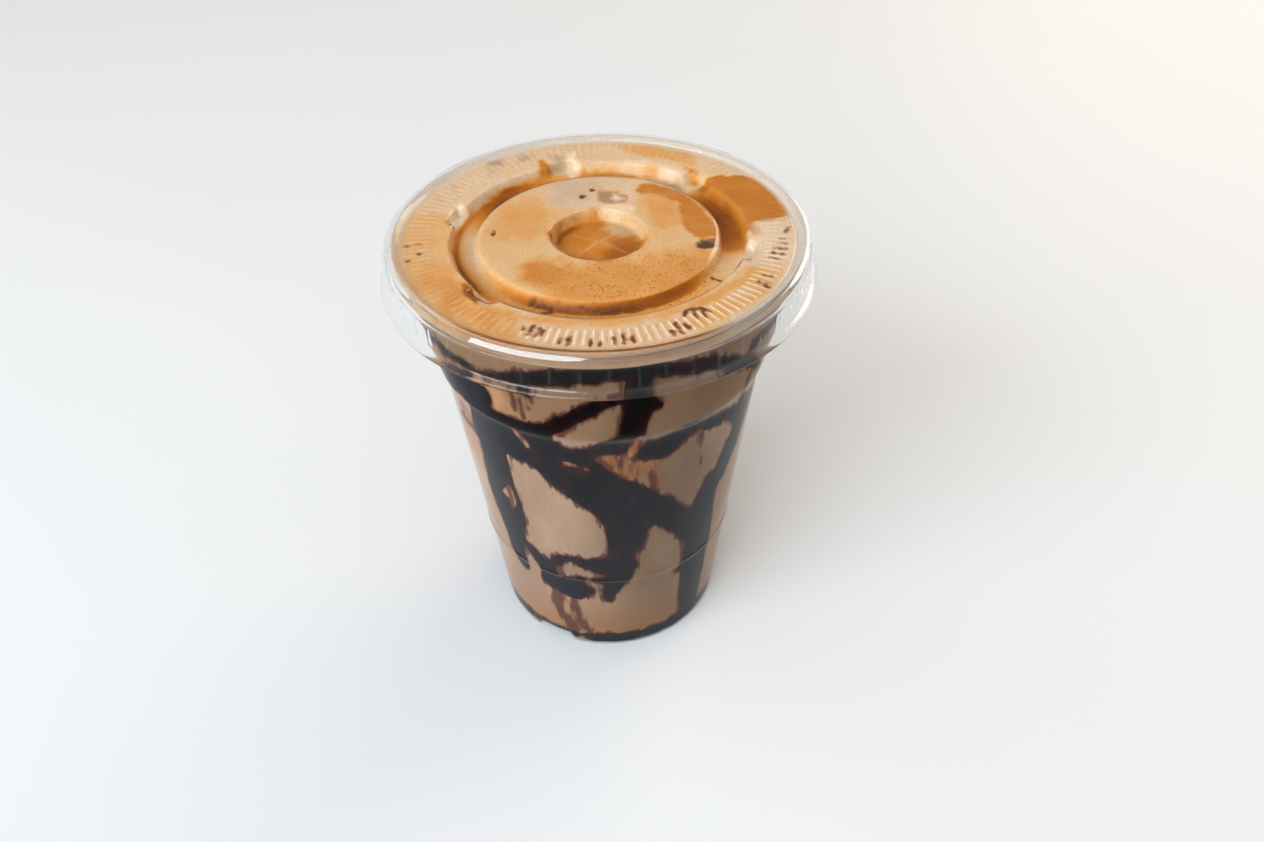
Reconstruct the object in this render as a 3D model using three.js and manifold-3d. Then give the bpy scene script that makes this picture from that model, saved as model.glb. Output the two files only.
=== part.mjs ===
// Iced chocolate coffee in a clear disposable cup with a flat lid.
// Millimetres, +Z up. The origin is on the table, at the middle of the foot ring.
// Angles on the wall are degrees from the front, -Y, growing towards +X.
import * as THREE from "three";
import { mergeVertices } from "three/addons/utils/BufferGeometryUtils.js";
import Module from "manifold-3d";

const wasm = await Module();
wasm.setup();

// Every turned piece has the same facets, so that the pieces nest
const ROUND_STEPS = 36;
const CLEARANCE = 0.3;

// Cup wall, outside
const CUP_WALL = 0.6;
const FOOT_RADIUS = 30.9;
const FOOT_WIDTH = 2.7;
const FOOT_TAPER = 0.8;
const BASE_HEIGHT = 3;
const BASE_RADIUS = 31.4;
const BAND_HEIGHT = 31.5;
const BAND_RISE = 0.3;
const BAND_HALF = 0.8;
const LEDGE_LOW = 85.6;
const LEDGE_LOW_RADIUS = 40.6;
const LEDGE_HIGH = 87.8;
const LEDGE_HIGH_RADIUS = 41.9;
const THROAT_HEIGHT = 114.6;
const THROAT_RADIUS = 47.1;
const ROLL_HEIGHT = 115.9;
const ROLL_CENTRE = 48.4;
const ROLL_RADIUS = 1.05;

// Vents cut up into the foot ring, which is filled in round them
const VENT_COUNT = 3;
const VENT_FIRST = -32;
const VENT_HEIGHT = 2.7;
const VENT_ARC = 20;
const VENT_TAPER = 4;
const VENT_FILL_ARC = 24;

// Lid, its top surface from the middle outwards
const LID_WALL = 0.45;
const DIMPLE_MIDDLE = 114.5;
const DIMPLE_EDGE = 113.5;
const DIMPLE_FLOOR_RADIUS = 10.6;
const DIMPLE_RADIUS = 11.6;
const PLATEAU_HEIGHT = 116.6;
const PLATEAU_RADIUS = 28.6;
const GROOVE_HEIGHT = 114.1;
const GROOVE_INNER_RADIUS = 29.9;
const GROOVE_OUTER_RADIUS = 34.0;
const PANEL_HEIGHT = 117.0;
const PANEL_INNER_RADIUS = 35.4;
const PANEL_OUTER_RADIUS = 46.0;
const BEAD_CENTRE = 48.7;
const BEAD_HEIGHT = 116.1;
const BEAD_RADIUS = 2.1;
const SKIRT_RADIUS = 50.3;
const SKIRT_TOP = 114.8;
const SKIRT_LOW = 109.4;
const FLARE_RADIUS = 51;
const FLANGE_RADIUS = 52.3;
const FLANGE_HEIGHT = 108;

// Fine ribs on the lid's panel and on its skirt
const RIB_COUNT = 140;
const RIB_INNER_RADIUS = 39.7;
const RIB_OUTER_RADIUS = 45.4;
const RIB_WIDTH = 0.8;
const RIB_RISE = 0.35;
const RIB_ROOT = 0.2;
const SKIRT_RIB_COUNT = 52;
const SKIRT_RIB_FIRST = -40.4;
const SKIRT_RIB_LOW = 109.8;
const SKIRT_RIB_HIGH = 114.3;

// Small stacking pockets outside the groove
const POCKET_ANGLES = [-46, 74, 134, 194, 254];
const POCKET_ARC = 13;
const POCKET_FLOOR = 114.6;
const POCKET_INNER_RADIUS = 32.0;
const POCKET_OUTER_RADIUS = 37.4;

// Straw cross in the dimple
const SLIT_LENGTH = 15;
const SLIT_WIDTH = 0.3;
const SLIT_ANGLES = [46, -34];

// What fills the cup; its side goes straight up from the ledge's foot to this height
const FOAM_BOTTOM = 111.4;
const STRAIGHT_HIGH = 97;
const SYRUP_THICKNESS = 0.6;
const SYRUP_CLEARANCE = 0.6;
const SYRUP_STEP = 8.5;
const MM_PER_DEGREE = 0.66;

// Chocolate syrup that ran down the inside of the wall: [degrees from the front, height, half width]
const SYRUP = [
  // under the rim, all the way round
  [[-37, 103, 1.2], [-28, 105, 1.5], [-12, 108.4, 1.9], [2, 108.8, 2], [14, 108.4, 1.9], [28, 106.6, 1.9]],
  [[27, 106.7, 1.9], [35, 104, 1.7], [41, 100.4, 1.4]],
  [[52, 104, 1.3], [84, 106, 1.5], [120, 108, 1.7], [158, 108, 1.6], [196, 108, 1.5], [234, 106, 1.5]],
  [[232, 106, 1.5], [252, 105, 1.4], [268, 104, 1.3]],
  // from the rim down and to the left
  [[10, 108, 3.2], [9.5, 98, 3.8], [8, 90, 3.4], [3, 85, 2.8], [-8, 81.5, 1.8]],
  [[11, 98.6, 2.8], [15, 97.4, 2]],
  [[6, 101, 1.6], [-3, 99, 2.2], [-12, 94, 2.4], [-20, 89, 3.2], [-32, 87, 4.4]],
  // the dark left side
  [[-84, 83, 2.4], [-68, 88.4, 3.2], [-56, 92.5, 4.6], [-45, 95.4, 5]],
  [[-44.5, 98, 3.6], [-46, 88, 5.2], [-46, 76, 5], [-45.4, 67.5, 5], [-48.6, 60, 3.8]],
  [[-49, 60.6, 3.8], [-47.5, 53, 4.4], [-45.4, 46, 4.8], [-46, 37, 3.4], [-44.5, 29, 1.6]],
  [[-40, 41, 1.4], [-33.5, 36, 2.2], [-26, 29, 3]],
  // the broad band across the front
  [[-42, 81, 5.6], [-30, 80.4, 6], [-19, 78, 7], [-9, 72, 7.4], [0, 65.4, 7.2], [8, 57, 7]],
  [[8.6, 66, 5.4], [8, 54, 5.8], [6, 43, 3.8], [4.6, 34, 3.4], [0, 27, 2], [-1.5, 22, 1.2]],
  [[4, 37, 3.6], [-8, 38, 2.6], [-18, 39.4, 1.6], [-25.5, 36, 2.2], [-29, 31, 2.6]],
  [[-28.6, 26.4, 3], [-21, 26, 4.4], [-13.6, 26, 3.6]],
  [[-27, 22, 1.5], [-27, 14, 1.3], [-21, 6.5, 1.7]],
  [[-17.5, 22, 1], [-17, 13, 1], [-12.5, 6.5, 1.2]],
  // right of the middle, down to the foot
  [[10, 65, 4.6], [20, 57.6, 4.2], [30, 50.6, 4.2], [38, 45, 4.8]],
  [[44, 57, 3.8], [41.8, 46, 5.2], [42.5, 34, 5.2], [43, 22, 4.6], [44.5, 11, 4], [45, 5.4, 3.6]],
  [[44, 55, 3.2], [51, 61.4, 3.6], [56.6, 69, 4], [58, 79, 2.8]],
  [[7, 82, 2.2], [15, 81.2, 3.6], [24, 82.6, 3.2], [32, 84.5, 1.9], [48, 81.6, 1.8], [58, 75, 2.4]],
  // round the back
  [[100, 107, 2.4], [102, 92, 2.6], [97, 80, 3.6], [101, 64, 4.8], [103, 44, 3.2], [101, 24, 1.4]],
  [[58, 76, 2.8], [72, 80, 3], [86, 81, 3.4], [98, 78, 4]],
  [[102, 58, 5], [120, 52, 4.2], [136, 42, 3.6], [141, 24, 2.6], [144, 6.5, 2]],
  [[160, 107, 2.2], [159, 92, 3], [167, 78, 4], [184, 66, 5.2], [200, 57, 4.6], [204, 40, 3], [203, 22, 1.4]],
  [[192, 64, 4], [212, 72, 3.2], [236, 79, 3], [258, 82, 2.6], [276, 83, 2.4]],
  [[241, 105, 2.2], [236, 86, 3], [240, 66, 3.2], [248, 50, 3.6], [247, 28, 1.6]],
  [[180, 66, 3.6], [174, 48, 2.8], [168, 26, 1.6]],
];

const radians = THREE.MathUtils.degToRad;

// A closed three.js geometry as a solid, whichever way round its faces came
function solidOf(geometry) {
  const bare = geometry.clone();
  bare.deleteAttribute("normal");
  bare.deleteAttribute("uv");
  const merged = mergeVertices(bare, 1e-4);
  const vertProperties = merged.attributes.position.array;
  const triVerts = new Uint32Array(merged.index.array);
  const made = new wasm.Manifold(new wasm.Mesh({ numProp: 3, vertProperties, triVerts }));
  if (made.volume() > 0) return made;
  for (let i = 0; i < triVerts.length; i += 3) {
    [triVerts[i + 1], triVerts[i + 2]] = [triVerts[i + 2], triVerts[i + 1]];
  }
  return new wasm.Manifold(new wasm.Mesh({ numProp: 3, vertProperties, triVerts }));
}

function geometryOf(solid) {
  const mesh = solid.getMesh();
  const geometry = new THREE.BufferGeometry();
  geometry.setAttribute("position", new THREE.BufferAttribute(mesh.vertProperties, 3));
  geometry.setIndex(new THREE.BufferAttribute(mesh.triVerts, 1));
  geometry.computeVertexNormals();
  return geometry;
}

// A piece turned about the upright axis from [radius, height] points that close on themselves
function turned(points) {
  const profile = points.map(([radius, height]) => new THREE.Vector2(radius, height));
  const closed = points[0][0] > 0 || points.at(-1)[0] > 0;
  if (closed) profile.push(profile[0].clone());
  return solidOf(new THREE.LatheGeometry(profile, ROUND_STEPS).rotateX(Math.PI / 2));
}

// Part of a flat ring, middle at an angle from the front, from low to high
function ringPart(inner, outer, middle, arc, low, high) {
  const from = radians(middle - 90 - arc / 2);
  const to = radians(middle - 90 + arc / 2);
  const shape = new THREE.Shape();
  shape.absarc(0, 0, outer, from, to, false);
  shape.absarc(0, 0, inner, to, from, true);
  const settings = { depth: high - low, bevelEnabled: false, curveSegments: 3 };
  return solidOf(new THREE.ExtrudeGeometry(shape, settings).translate(0, 0, low));
}

// The same line moved sideways by a distance, to the right of its direction
function offsetLine(points, distance) {
  return points.map(([radius, height], i) => {
    const before = points[Math.max(i - 1, 0)];
    const after = points[Math.min(i + 1, points.length - 1)];
    const here = new THREE.Vector2(radius, height);
    const arriving = new THREE.Vector2(radius - before[0], height - before[1]);
    const leaving = new THREE.Vector2(after[0] - radius, after[1] - height);
    if (i === 0) arriving.copy(leaving);
    if (i === points.length - 1) leaving.copy(arriving);
    const a = arriving.normalize();
    const b = leaving.normalize();
    const along = a.clone().add(b).normalize();
    const stretch = distance / Math.max(along.dot(a), 0.6);
    here.add(new THREE.Vector2(along.y, -along.x).multiplyScalar(stretch));
    return [radius === 0 ? 0 : here.x, here.y];
  });
}

// Points on a circle in the section plane, angles in degrees from outwards, counted up
function sectionArc(radius, height, size, from, to, steps) {
  return Array.from({ length: steps + 1 }, (_, i) => {
    const angle = radians(from + ((to - from) * i) / steps);
    return [radius + size * Math.cos(angle), height + size * Math.sin(angle)];
  });
}

// Outside radius of the cup's wall
function wallRadius(height) {
  const { mapLinear } = THREE.MathUtils;
  if (height < LEDGE_LOW) {
    return mapLinear(height, BASE_HEIGHT, LEDGE_LOW, BASE_RADIUS, LEDGE_LOW_RADIUS);
  }
  if (height < LEDGE_HIGH) {
    return mapLinear(height, LEDGE_LOW, LEDGE_HIGH, LEDGE_LOW_RADIUS, LEDGE_HIGH_RADIUS);
  }
  const at = Math.min(height, THROAT_HEIGHT);
  return mapLinear(at, LEDGE_HIGH, THROAT_HEIGHT, LEDGE_HIGH_RADIUS, THROAT_RADIUS);
}

// Inside radius of the wall, taken straight across the ledge
function fillRadius(height) {
  const { mapLinear } = THREE.MathUtils;
  const inside = (at) => wallRadius(at) - CUP_WALL;
  if (height <= LEDGE_LOW || height >= STRAIGHT_HIGH) return inside(height);
  return mapLinear(height, LEDGE_LOW, STRAIGHT_HIGH, inside(LEDGE_LOW), inside(STRAIGHT_HIGH));
}

function buildCup() {
  const footInner = FOOT_RADIUS - FOOT_WIDTH;
  const floor = BASE_HEIGHT + CUP_WALL;
  const outside = [
    [0, BASE_HEIGHT],
    [footInner - FOOT_TAPER, BASE_HEIGHT],
    [footInner, 0],
    [FOOT_RADIUS, 0],
    [wallRadius(0.5), 0.5],
    [wallRadius(BAND_HEIGHT - BAND_HALF), BAND_HEIGHT - BAND_HALF],
    [wallRadius(BAND_HEIGHT) + BAND_RISE, BAND_HEIGHT],
    [wallRadius(BAND_HEIGHT + BAND_HALF), BAND_HEIGHT + BAND_HALF],
    [LEDGE_LOW_RADIUS, LEDGE_LOW],
    [LEDGE_HIGH_RADIUS, LEDGE_HIGH],
    [THROAT_RADIUS, THROAT_HEIGHT],
    ...sectionArc(ROLL_CENTRE, ROLL_HEIGHT, ROLL_RADIUS, -135, 165, 5),
  ];
  const inside = [
    [THROAT_RADIUS - CUP_WALL + 0.2, THROAT_HEIGHT + 0.8],
    [THROAT_RADIUS - CUP_WALL, THROAT_HEIGHT],
    [LEDGE_HIGH_RADIUS - CUP_WALL, LEDGE_HIGH + 0.2],
    [LEDGE_LOW_RADIUS - CUP_WALL, LEDGE_LOW + 0.2],
    [wallRadius(CUP_WALL) - CUP_WALL, CUP_WALL + 0.1],
    [footInner + CUP_WALL, CUP_WALL],
    [footInner - FOOT_TAPER + CUP_WALL, floor],
    [0, floor],
  ];
  let cup = turned([...outside, ...inside]);
  const half = CUP_WALL / 2;
  const middleOfFoot = turned([
    [0, BASE_HEIGHT + half],
    [footInner - FOOT_TAPER + half, BASE_HEIGHT + half],
    [footInner + half, half],
    [FOOT_RADIUS - half, half],
    [wallRadius(floor) - half, floor],
    [0, floor],
  ]);
  for (let i = 0; i < VENT_COUNT; i++) cup = cup.add(ventFill(i, 0).intersect(middleOfFoot));
  for (let i = 0; i < VENT_COUNT; i++) cup = cup.subtract(ventCutter(i));
  return cup;
}

// What fills the hollow foot ring round one vent, wider and higher by a margin where the drink goes round it
function ventFill(index, margin) {
  const middle = VENT_FIRST + (360 / VENT_COUNT) * index;
  const inner = FOOT_RADIUS - FOOT_WIDTH - FOOT_TAPER - CUP_WALL;
  const arc = VENT_FILL_ARC + (margin * 2) / radians(FOOT_RADIUS);
  const high = BASE_HEIGHT + CUP_WALL - 0.05 + margin;
  return ringPart(inner, FOOT_RADIUS + CUP_WALL, middle, arc, -margin, high);
}

// A cutter for one vent, narrower at its top
function ventCutter(index) {
  const middle = VENT_FIRST + (360 / VENT_COUNT) * index;
  const half = (arc) => FOOT_RADIUS * Math.tan(radians(arc / 2));
  const shape = new THREE.Shape();
  shape.moveTo(-half(VENT_ARC), -1);
  shape.lineTo(half(VENT_ARC), -1);
  shape.lineTo(half(VENT_ARC - VENT_TAPER), VENT_HEIGHT);
  shape.lineTo(-half(VENT_ARC - VENT_TAPER), VENT_HEIGHT);
  const depth = FOOT_WIDTH * 3;
  const block = new THREE.ExtrudeGeometry(shape, { depth, bevelEnabled: false });
  block.rotateX(Math.PI / 2).translate(0, depth / 2 - FOOT_RADIUS, 0).rotateZ(radians(middle));
  return solidOf(block);
}

// The lid's top surface as far as the panel's edge
function lidMiddle() {
  return [
    [0, DIMPLE_MIDDLE],
    [DIMPLE_FLOOR_RADIUS, DIMPLE_EDGE],
    [DIMPLE_RADIUS - 0.3, PLATEAU_HEIGHT - 0.5],
    [DIMPLE_RADIUS + 0.5, PLATEAU_HEIGHT],
    [PLATEAU_RADIUS - 1.5, PLATEAU_HEIGHT],
    [PLATEAU_RADIUS, PLATEAU_HEIGHT - 0.7],
    [GROOVE_INNER_RADIUS, GROOVE_HEIGHT],
    [GROOVE_OUTER_RADIUS, GROOVE_HEIGHT],
    [PANEL_INNER_RADIUS - 0.4, PANEL_HEIGHT - 0.3],
    [PANEL_INNER_RADIUS + 0.2, PANEL_HEIGHT],
    [PANEL_OUTER_RADIUS, PANEL_HEIGHT],
  ];
}

function lidRim() {
  return [
    ...sectionArc(BEAD_CENTRE, BEAD_HEIGHT, BEAD_RADIUS, 166, -18, 5),
    [SKIRT_RADIUS, SKIRT_TOP],
    [SKIRT_RADIUS + 0.1, SKIRT_LOW],
    [FLARE_RADIUS, FLANGE_HEIGHT + 0.6],
    [FLANGE_RADIUS, FLANGE_HEIGHT + 0.4],
  ];
}

function lidUnderside() {
  const innerSkirt = SKIRT_RADIUS - LID_WALL;
  return [
    [FLANGE_RADIUS, FLANGE_HEIGHT],
    [FLARE_RADIUS - 0.2, FLANGE_HEIGHT + 0.1],
    [innerSkirt + 0.1, SKIRT_LOW],
    [innerSkirt, SKIRT_TOP],
    ...sectionArc(BEAD_CENTRE, BEAD_HEIGHT, BEAD_RADIUS - LID_WALL, 0, 155, 4),
    [PANEL_OUTER_RADIUS + 0.9, BEAD_HEIGHT],
  ];
}

function buildLid() {
  const middle = lidMiddle();
  const under = offsetLine(middle, LID_WALL).reverse();
  let lid = turned([...middle, ...lidRim(), ...lidUnderside(), ...under]);
  for (const angle of POCKET_ANGLES) lid = lid.add(pocket(angle, LID_WALL));
  for (const angle of POCKET_ANGLES) lid = lid.subtract(pocket(angle, 0));
  for (const angle of SLIT_ANGLES) {
    const slit = new THREE.BoxGeometry(SLIT_LENGTH, SLIT_WIDTH, 4);
    lid = lid.subtract(solidOf(slit.rotateZ(radians(angle)).translate(0, 0, DIMPLE_MIDDLE)));
  }
  return wasm.Manifold.union([lid, ...panelRibs(), ...skirtRibs()]);
}

// One stacking pocket: the space itself, or with a thickness the material round it
function pocket(middle, thickness) {
  const arc = POCKET_ARC + (thickness * 2) / radians(POCKET_OUTER_RADIUS);
  const inner = thickness > 0 ? GROOVE_OUTER_RADIUS - 0.4 : POCKET_INNER_RADIUS;
  const outer = POCKET_OUTER_RADIUS + thickness;
  const high = PANEL_HEIGHT + (thickness > 0 ? -0.1 : 1);
  return ringPart(inner, outer, middle, arc, POCKET_FLOOR - thickness, high);
}

// A ridge with a three-sided section along +X, its base a little under z = 0
function ridge(length) {
  const section = new THREE.Shape();
  section.moveTo(-RIB_WIDTH / 2, -RIB_ROOT);
  section.lineTo(RIB_WIDTH / 2, -RIB_ROOT);
  section.lineTo(0, RIB_RISE);
  const made = new THREE.ExtrudeGeometry(section, { depth: length, bevelEnabled: false });
  return made.rotateX(Math.PI / 2).rotateZ(Math.PI / 2);
}

function panelRibs() {
  return Array.from({ length: RIB_COUNT }, (_, i) => {
    const made = ridge(RIB_OUTER_RADIUS - RIB_INNER_RADIUS);
    made.translate(RIB_INNER_RADIUS, 0, PANEL_HEIGHT);
    return solidOf(made.rotateZ(((i + 0.5) * 2 * Math.PI) / RIB_COUNT));
  });
}

function skirtRibs() {
  return Array.from({ length: SKIRT_RIB_COUNT }, (_, i) => {
    const made = ridge(SKIRT_RIB_HIGH - SKIRT_RIB_LOW);
    made.rotateY(Math.PI / 2).translate(SKIRT_RADIUS - 0.05, 0, SKIRT_RIB_HIGH);
    const angle = SKIRT_RIB_FIRST - 90 + (360 / SKIRT_RIB_COUNT) * i;
    return solidOf(made.rotateZ(radians(angle)));
  });
}

// Foam pressed up against the lid, so its top has the lid's relief
function buildFoam() {
  const top = offsetLine(lidMiddle().slice(0, -1), LID_WALL + CLEARANCE);
  const side = (height) => wallRadius(height) - CUP_WALL - CLEARANCE;
  const outside = [
    [side(FOAM_BOTTOM), FOAM_BOTTOM],
    [side(THROAT_HEIGHT - 0.4), THROAT_HEIGHT - 0.4],
    [PANEL_OUTER_RADIUS - 0.4, PANEL_HEIGHT - LID_WALL - CLEARANCE],
  ];
  let foam = turned([[0, FOAM_BOTTOM], ...outside, ...top.reverse()]);
  for (const angle of POCKET_ANGLES) {
    foam = foam.subtract(pocket(angle, LID_WALL + CLEARANCE));
  }
  return foam;
}

// One run of syrup as a low strip that follows the wall, its root sunk in the coffee
function syrupStrip(points) {
  const line = points.map(([angle, height, half]) => new THREE.Vector3(angle * MM_PER_DEGREE, height, half));
  const path = new THREE.CatmullRomCurve3(line);
  const steps = Math.max(2, Math.round(path.getLength() / SYRUP_STEP));
  const corners = [[-1, 0], [0, 0], [1, 0], [1, 1], [0, 1], [-1, 1]];
  const positions = [];
  for (let i = 0; i <= steps; i++) {
    const at = path.getPointAt(i / steps);
    const along = path.getTangentAt(i / steps);
    const length = Math.hypot(along.x, along.y);
    for (const [side, depth] of corners) {
      const height = at.y + (side * at.z * along.x) / length;
      const face = fillRadius(height - 1) - SYRUP_CLEARANCE;
      const shift = (-side * at.z * along.y) / length / radians(face);
      const angle = radians(at.x / MM_PER_DEGREE + shift);
      const radius = face - depth * 2 * SYRUP_THICKNESS;
      positions.push(radius * Math.sin(angle), -radius * Math.cos(angle), height);
    }
  }
  const geometry = new THREE.BufferGeometry();
  geometry.setAttribute("position", new THREE.Float32BufferAttribute(positions, 3));
  geometry.setIndex(stripFaces(steps, corners.length));
  return solidOf(geometry);
}

// Triangles of a closed strip with a ring of corners at each step and a fan at each end
function stripFaces(steps, count) {
  const faces = [];
  for (let i = 0; i < steps; i++) {
    for (let j = 0; j < count; j++) {
      const a = i * count + j;
      const b = i * count + ((j + 1) % count);
      faces.push(a, b, a + count, b, b + count, a + count);
    }
  }
  for (let j = 1; j < count - 1; j++) {
    faces.push(0, j + 1, j);
    faces.push(steps * count, steps * count + j, steps * count + j + 1);
  }
  return faces;
}

// Coffee up to the foam, down into the hollow foot ring, with the syrup standing out of its side
function buildDrink() {
  const side = (height) => fillRadius(height) - SYRUP_CLEARANCE - SYRUP_THICKNESS;
  const top = FOAM_BOTTOM - CLEARANCE;
  const low = BASE_HEIGHT + CUP_WALL + CLEARANCE;
  const channelInner = FOOT_RADIUS - FOOT_WIDTH + CUP_WALL + CLEARANCE;
  const channelOuter = wallRadius(CUP_WALL) - CUP_WALL - CLEARANCE;
  let coffee = turned([
    [0, low],
    [channelInner - FOOT_TAPER, low],
    [channelInner + 0.1, CUP_WALL + CLEARANCE],
    [channelOuter - 0.1, CUP_WALL + CLEARANCE],
    [channelOuter, low],
    [side(BASE_HEIGHT + 2.6), BASE_HEIGHT + 2.6],
    [side(LEDGE_LOW), LEDGE_LOW],
    [side(STRAIGHT_HIGH), STRAIGHT_HIGH],
    [side(top), top],
    [0, top],
  ]);
  for (let i = 0; i < VENT_COUNT; i++) coffee = coffee.subtract(ventFill(i, CLEARANCE));
  return wasm.Manifold.union([coffee, ...SYRUP.map(syrupStrip)]);
}

const pieces = [
  ["cup", buildCup(), { color: 0xf1f3f4, roughness: 0.05, metalness: 0, transparent: true, opacity: 0.3 }],
  ["lid", buildLid(), { color: 0xf4f3f1, roughness: 0.08, metalness: 0, transparent: true, opacity: 0.3 }],
  ["foam", buildFoam(), { color: 0xd9a468, roughness: 0.6, metalness: 0 }],
  ["drink", buildDrink(), { color: 0xae937a, roughness: 0.5, metalness: 0 }],
];

const coffeeCup = new THREE.Group();
for (const [name, solid, look] of pieces) {
  const mesh = new THREE.Mesh(geometryOf(solid), new THREE.MeshStandardMaterial(look));
  mesh.name = name;
  coffeeCup.add(mesh);
}

export default coffeeCup;
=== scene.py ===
"""Iced chocolate coffee in a clear cup with a flat lid, dressed over its CAD frame.

Lines and places are in millimetres, +Z up, with the origin on the table. Angles on the wall are
degrees from the front, -Y, growing towards +X. Meshes are in metres.
"""

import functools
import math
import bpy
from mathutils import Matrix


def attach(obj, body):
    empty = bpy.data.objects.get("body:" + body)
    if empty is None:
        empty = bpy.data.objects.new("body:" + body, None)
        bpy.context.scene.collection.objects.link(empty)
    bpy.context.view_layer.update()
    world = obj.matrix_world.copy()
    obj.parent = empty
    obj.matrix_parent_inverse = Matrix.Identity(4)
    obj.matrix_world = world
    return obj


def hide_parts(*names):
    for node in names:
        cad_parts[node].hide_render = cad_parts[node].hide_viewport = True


bl_info = {
    "name": "Iced chocolate coffee",
    "version": (1, 0, 0),
    "blender": (4, 5, 0),
    "location": "View3D > Sidebar > Drink",
    "description": "Builds a clear cup of iced coffee, streaked with chocolate syrup, under a flat lid",
    "category": "Add Mesh",
}

import bpy
import numpy as np
from mathutils import Matrix, Vector

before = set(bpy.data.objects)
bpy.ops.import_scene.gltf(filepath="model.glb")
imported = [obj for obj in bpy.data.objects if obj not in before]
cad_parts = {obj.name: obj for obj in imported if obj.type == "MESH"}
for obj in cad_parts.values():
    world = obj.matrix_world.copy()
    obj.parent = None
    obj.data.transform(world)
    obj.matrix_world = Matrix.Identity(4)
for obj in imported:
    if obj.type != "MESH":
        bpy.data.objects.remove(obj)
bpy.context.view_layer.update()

MM = 0.001
LID_COLUMNS = 560
LID_RIBS = 140
SKIRT_RIBS = 52
SKIRT_RIB_FIRST = -40.4
CUP_COLUMNS = 384
WALL_COLUMNS = 448


# ---------------------------------------------------------------- sizes and colours


def linear(code):
    """An sRGB hex colour as linear values"""
    values = [int(code[i : i + 2], 16) / 255 for i in (1, 3, 5)]
    return tuple(v / 12.92 if v <= 0.04045 else ((v + 0.055) / 1.055) ** 2.4 for v in values)


def length(name, millimetres, description):
    return bpy.props.FloatProperty(
        name=name, description=description, default=millimetres * MM, min=0, unit="LENGTH", precision=5
    )


def colour(name, code, description):
    return bpy.props.FloatVectorProperty(
        name=name, description=description, default=linear(code), size=3, min=0, max=1, subtype="COLOR"
    )


class CupSizes(bpy.types.PropertyGroup):
    """The clear cup"""

    wall: length("Wall", 0.6, "Thickness of the cup's sheet")
    foot: length("Foot radius", 30.9, "Outside radius of the foot ring")
    foot_width: length("Foot width", 2.7, "How far the hollow foot ring reaches inwards")
    base: length("Base height", 3.0, "Height of the floor's underside over the table")
    base_radius: length("Base radius", 31.4, "Outside radius of the wall at the base")
    band: length("Band height", 31.5, "Height of the faint band round the wall")
    ledge_low: length("Ledge foot", 85.6, "Height where the stacking ledge begins")
    ledge_low_radius: length("Radius under the ledge", 40.6, "Outside radius at the ledge's foot")
    ledge_high: length("Ledge top", 87.8, "Height where the stacking ledge ends")
    ledge_high_radius: length("Radius over the ledge", 41.9, "Outside radius at the ledge's top")
    throat: length("Throat height", 114.6, "Height where the wall turns out into the rolled rim")
    throat_radius: length("Throat radius", 47.1, "Outside radius under the rolled rim")
    roll: length("Rim roll", 1.05, "Radius of the rolled rim's section")
    roll_out: length("Rim offset", 1.3, "How far out and up from the throat the roll's middle lies")
    vent: length("Vent height", 2.7, "Height of the vents cut into the foot")


class LidSizes(bpy.types.PropertyGroup):
    """The flat lid"""

    wall: length("Sheet", 0.45, "Thickness of the lid's sheet")
    dimple: length("Dimple radius", 10.6, "Radius of the sunk disc under the straw cross")
    dimple_height: length("Dimple height", 113.5, "Height of the dimple's floor at its edge")
    plateau: length("Plateau radius", 28.6, "Radius of the raised middle")
    plateau_height: length("Plateau height", 116.6, "Height of the raised middle")
    groove_inner: length("Groove inner radius", 29.9, "Inner radius of the groove's floor")
    groove_outer: length("Groove outer radius", 34.0, "Outer radius of the groove's floor")
    groove_height: length("Groove height", 114.1, "Height of the groove's floor")
    panel: length("Panel radius", 46.0, "Outer radius of the ribbed panel")
    panel_height: length("Panel height", 117.0, "Height of the ribbed panel")
    bead: length("Bead radius", 2.1, "Radius of the snap bead's section")
    bead_centre: length("Bead centre", 48.7, "Distance of the bead's middle from the axis")
    bead_height: length("Bead height", 116.1, "Height of the bead's middle")
    skirt: length("Skirt radius", 50.3, "Outside radius of the skirt")
    flange: length("Flange radius", 52.3, "Outside radius of the thin bottom edge")
    flange_height: length("Flange height", 108.0, "Height of the skirt's bottom edge")
    rib: length("Rib rise", 0.22, "How far the ribs stand up")


class DrinkSizes(bpy.types.PropertyGroup):
    """What fills the cup"""

    foam_bottom: length("Foam bottom", 111.4, "Height where coffee ends and foam begins")
    sink: length("Bite", 0.05, "How far the filling reaches into the wall, so that no air shows")
    syrup: length("Syrup thickness", 1.0, "Thickness of the syrup on the wall")
    edge: length("Syrup wobble", 0.45, "How far the syrup's edge wanders")


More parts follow.
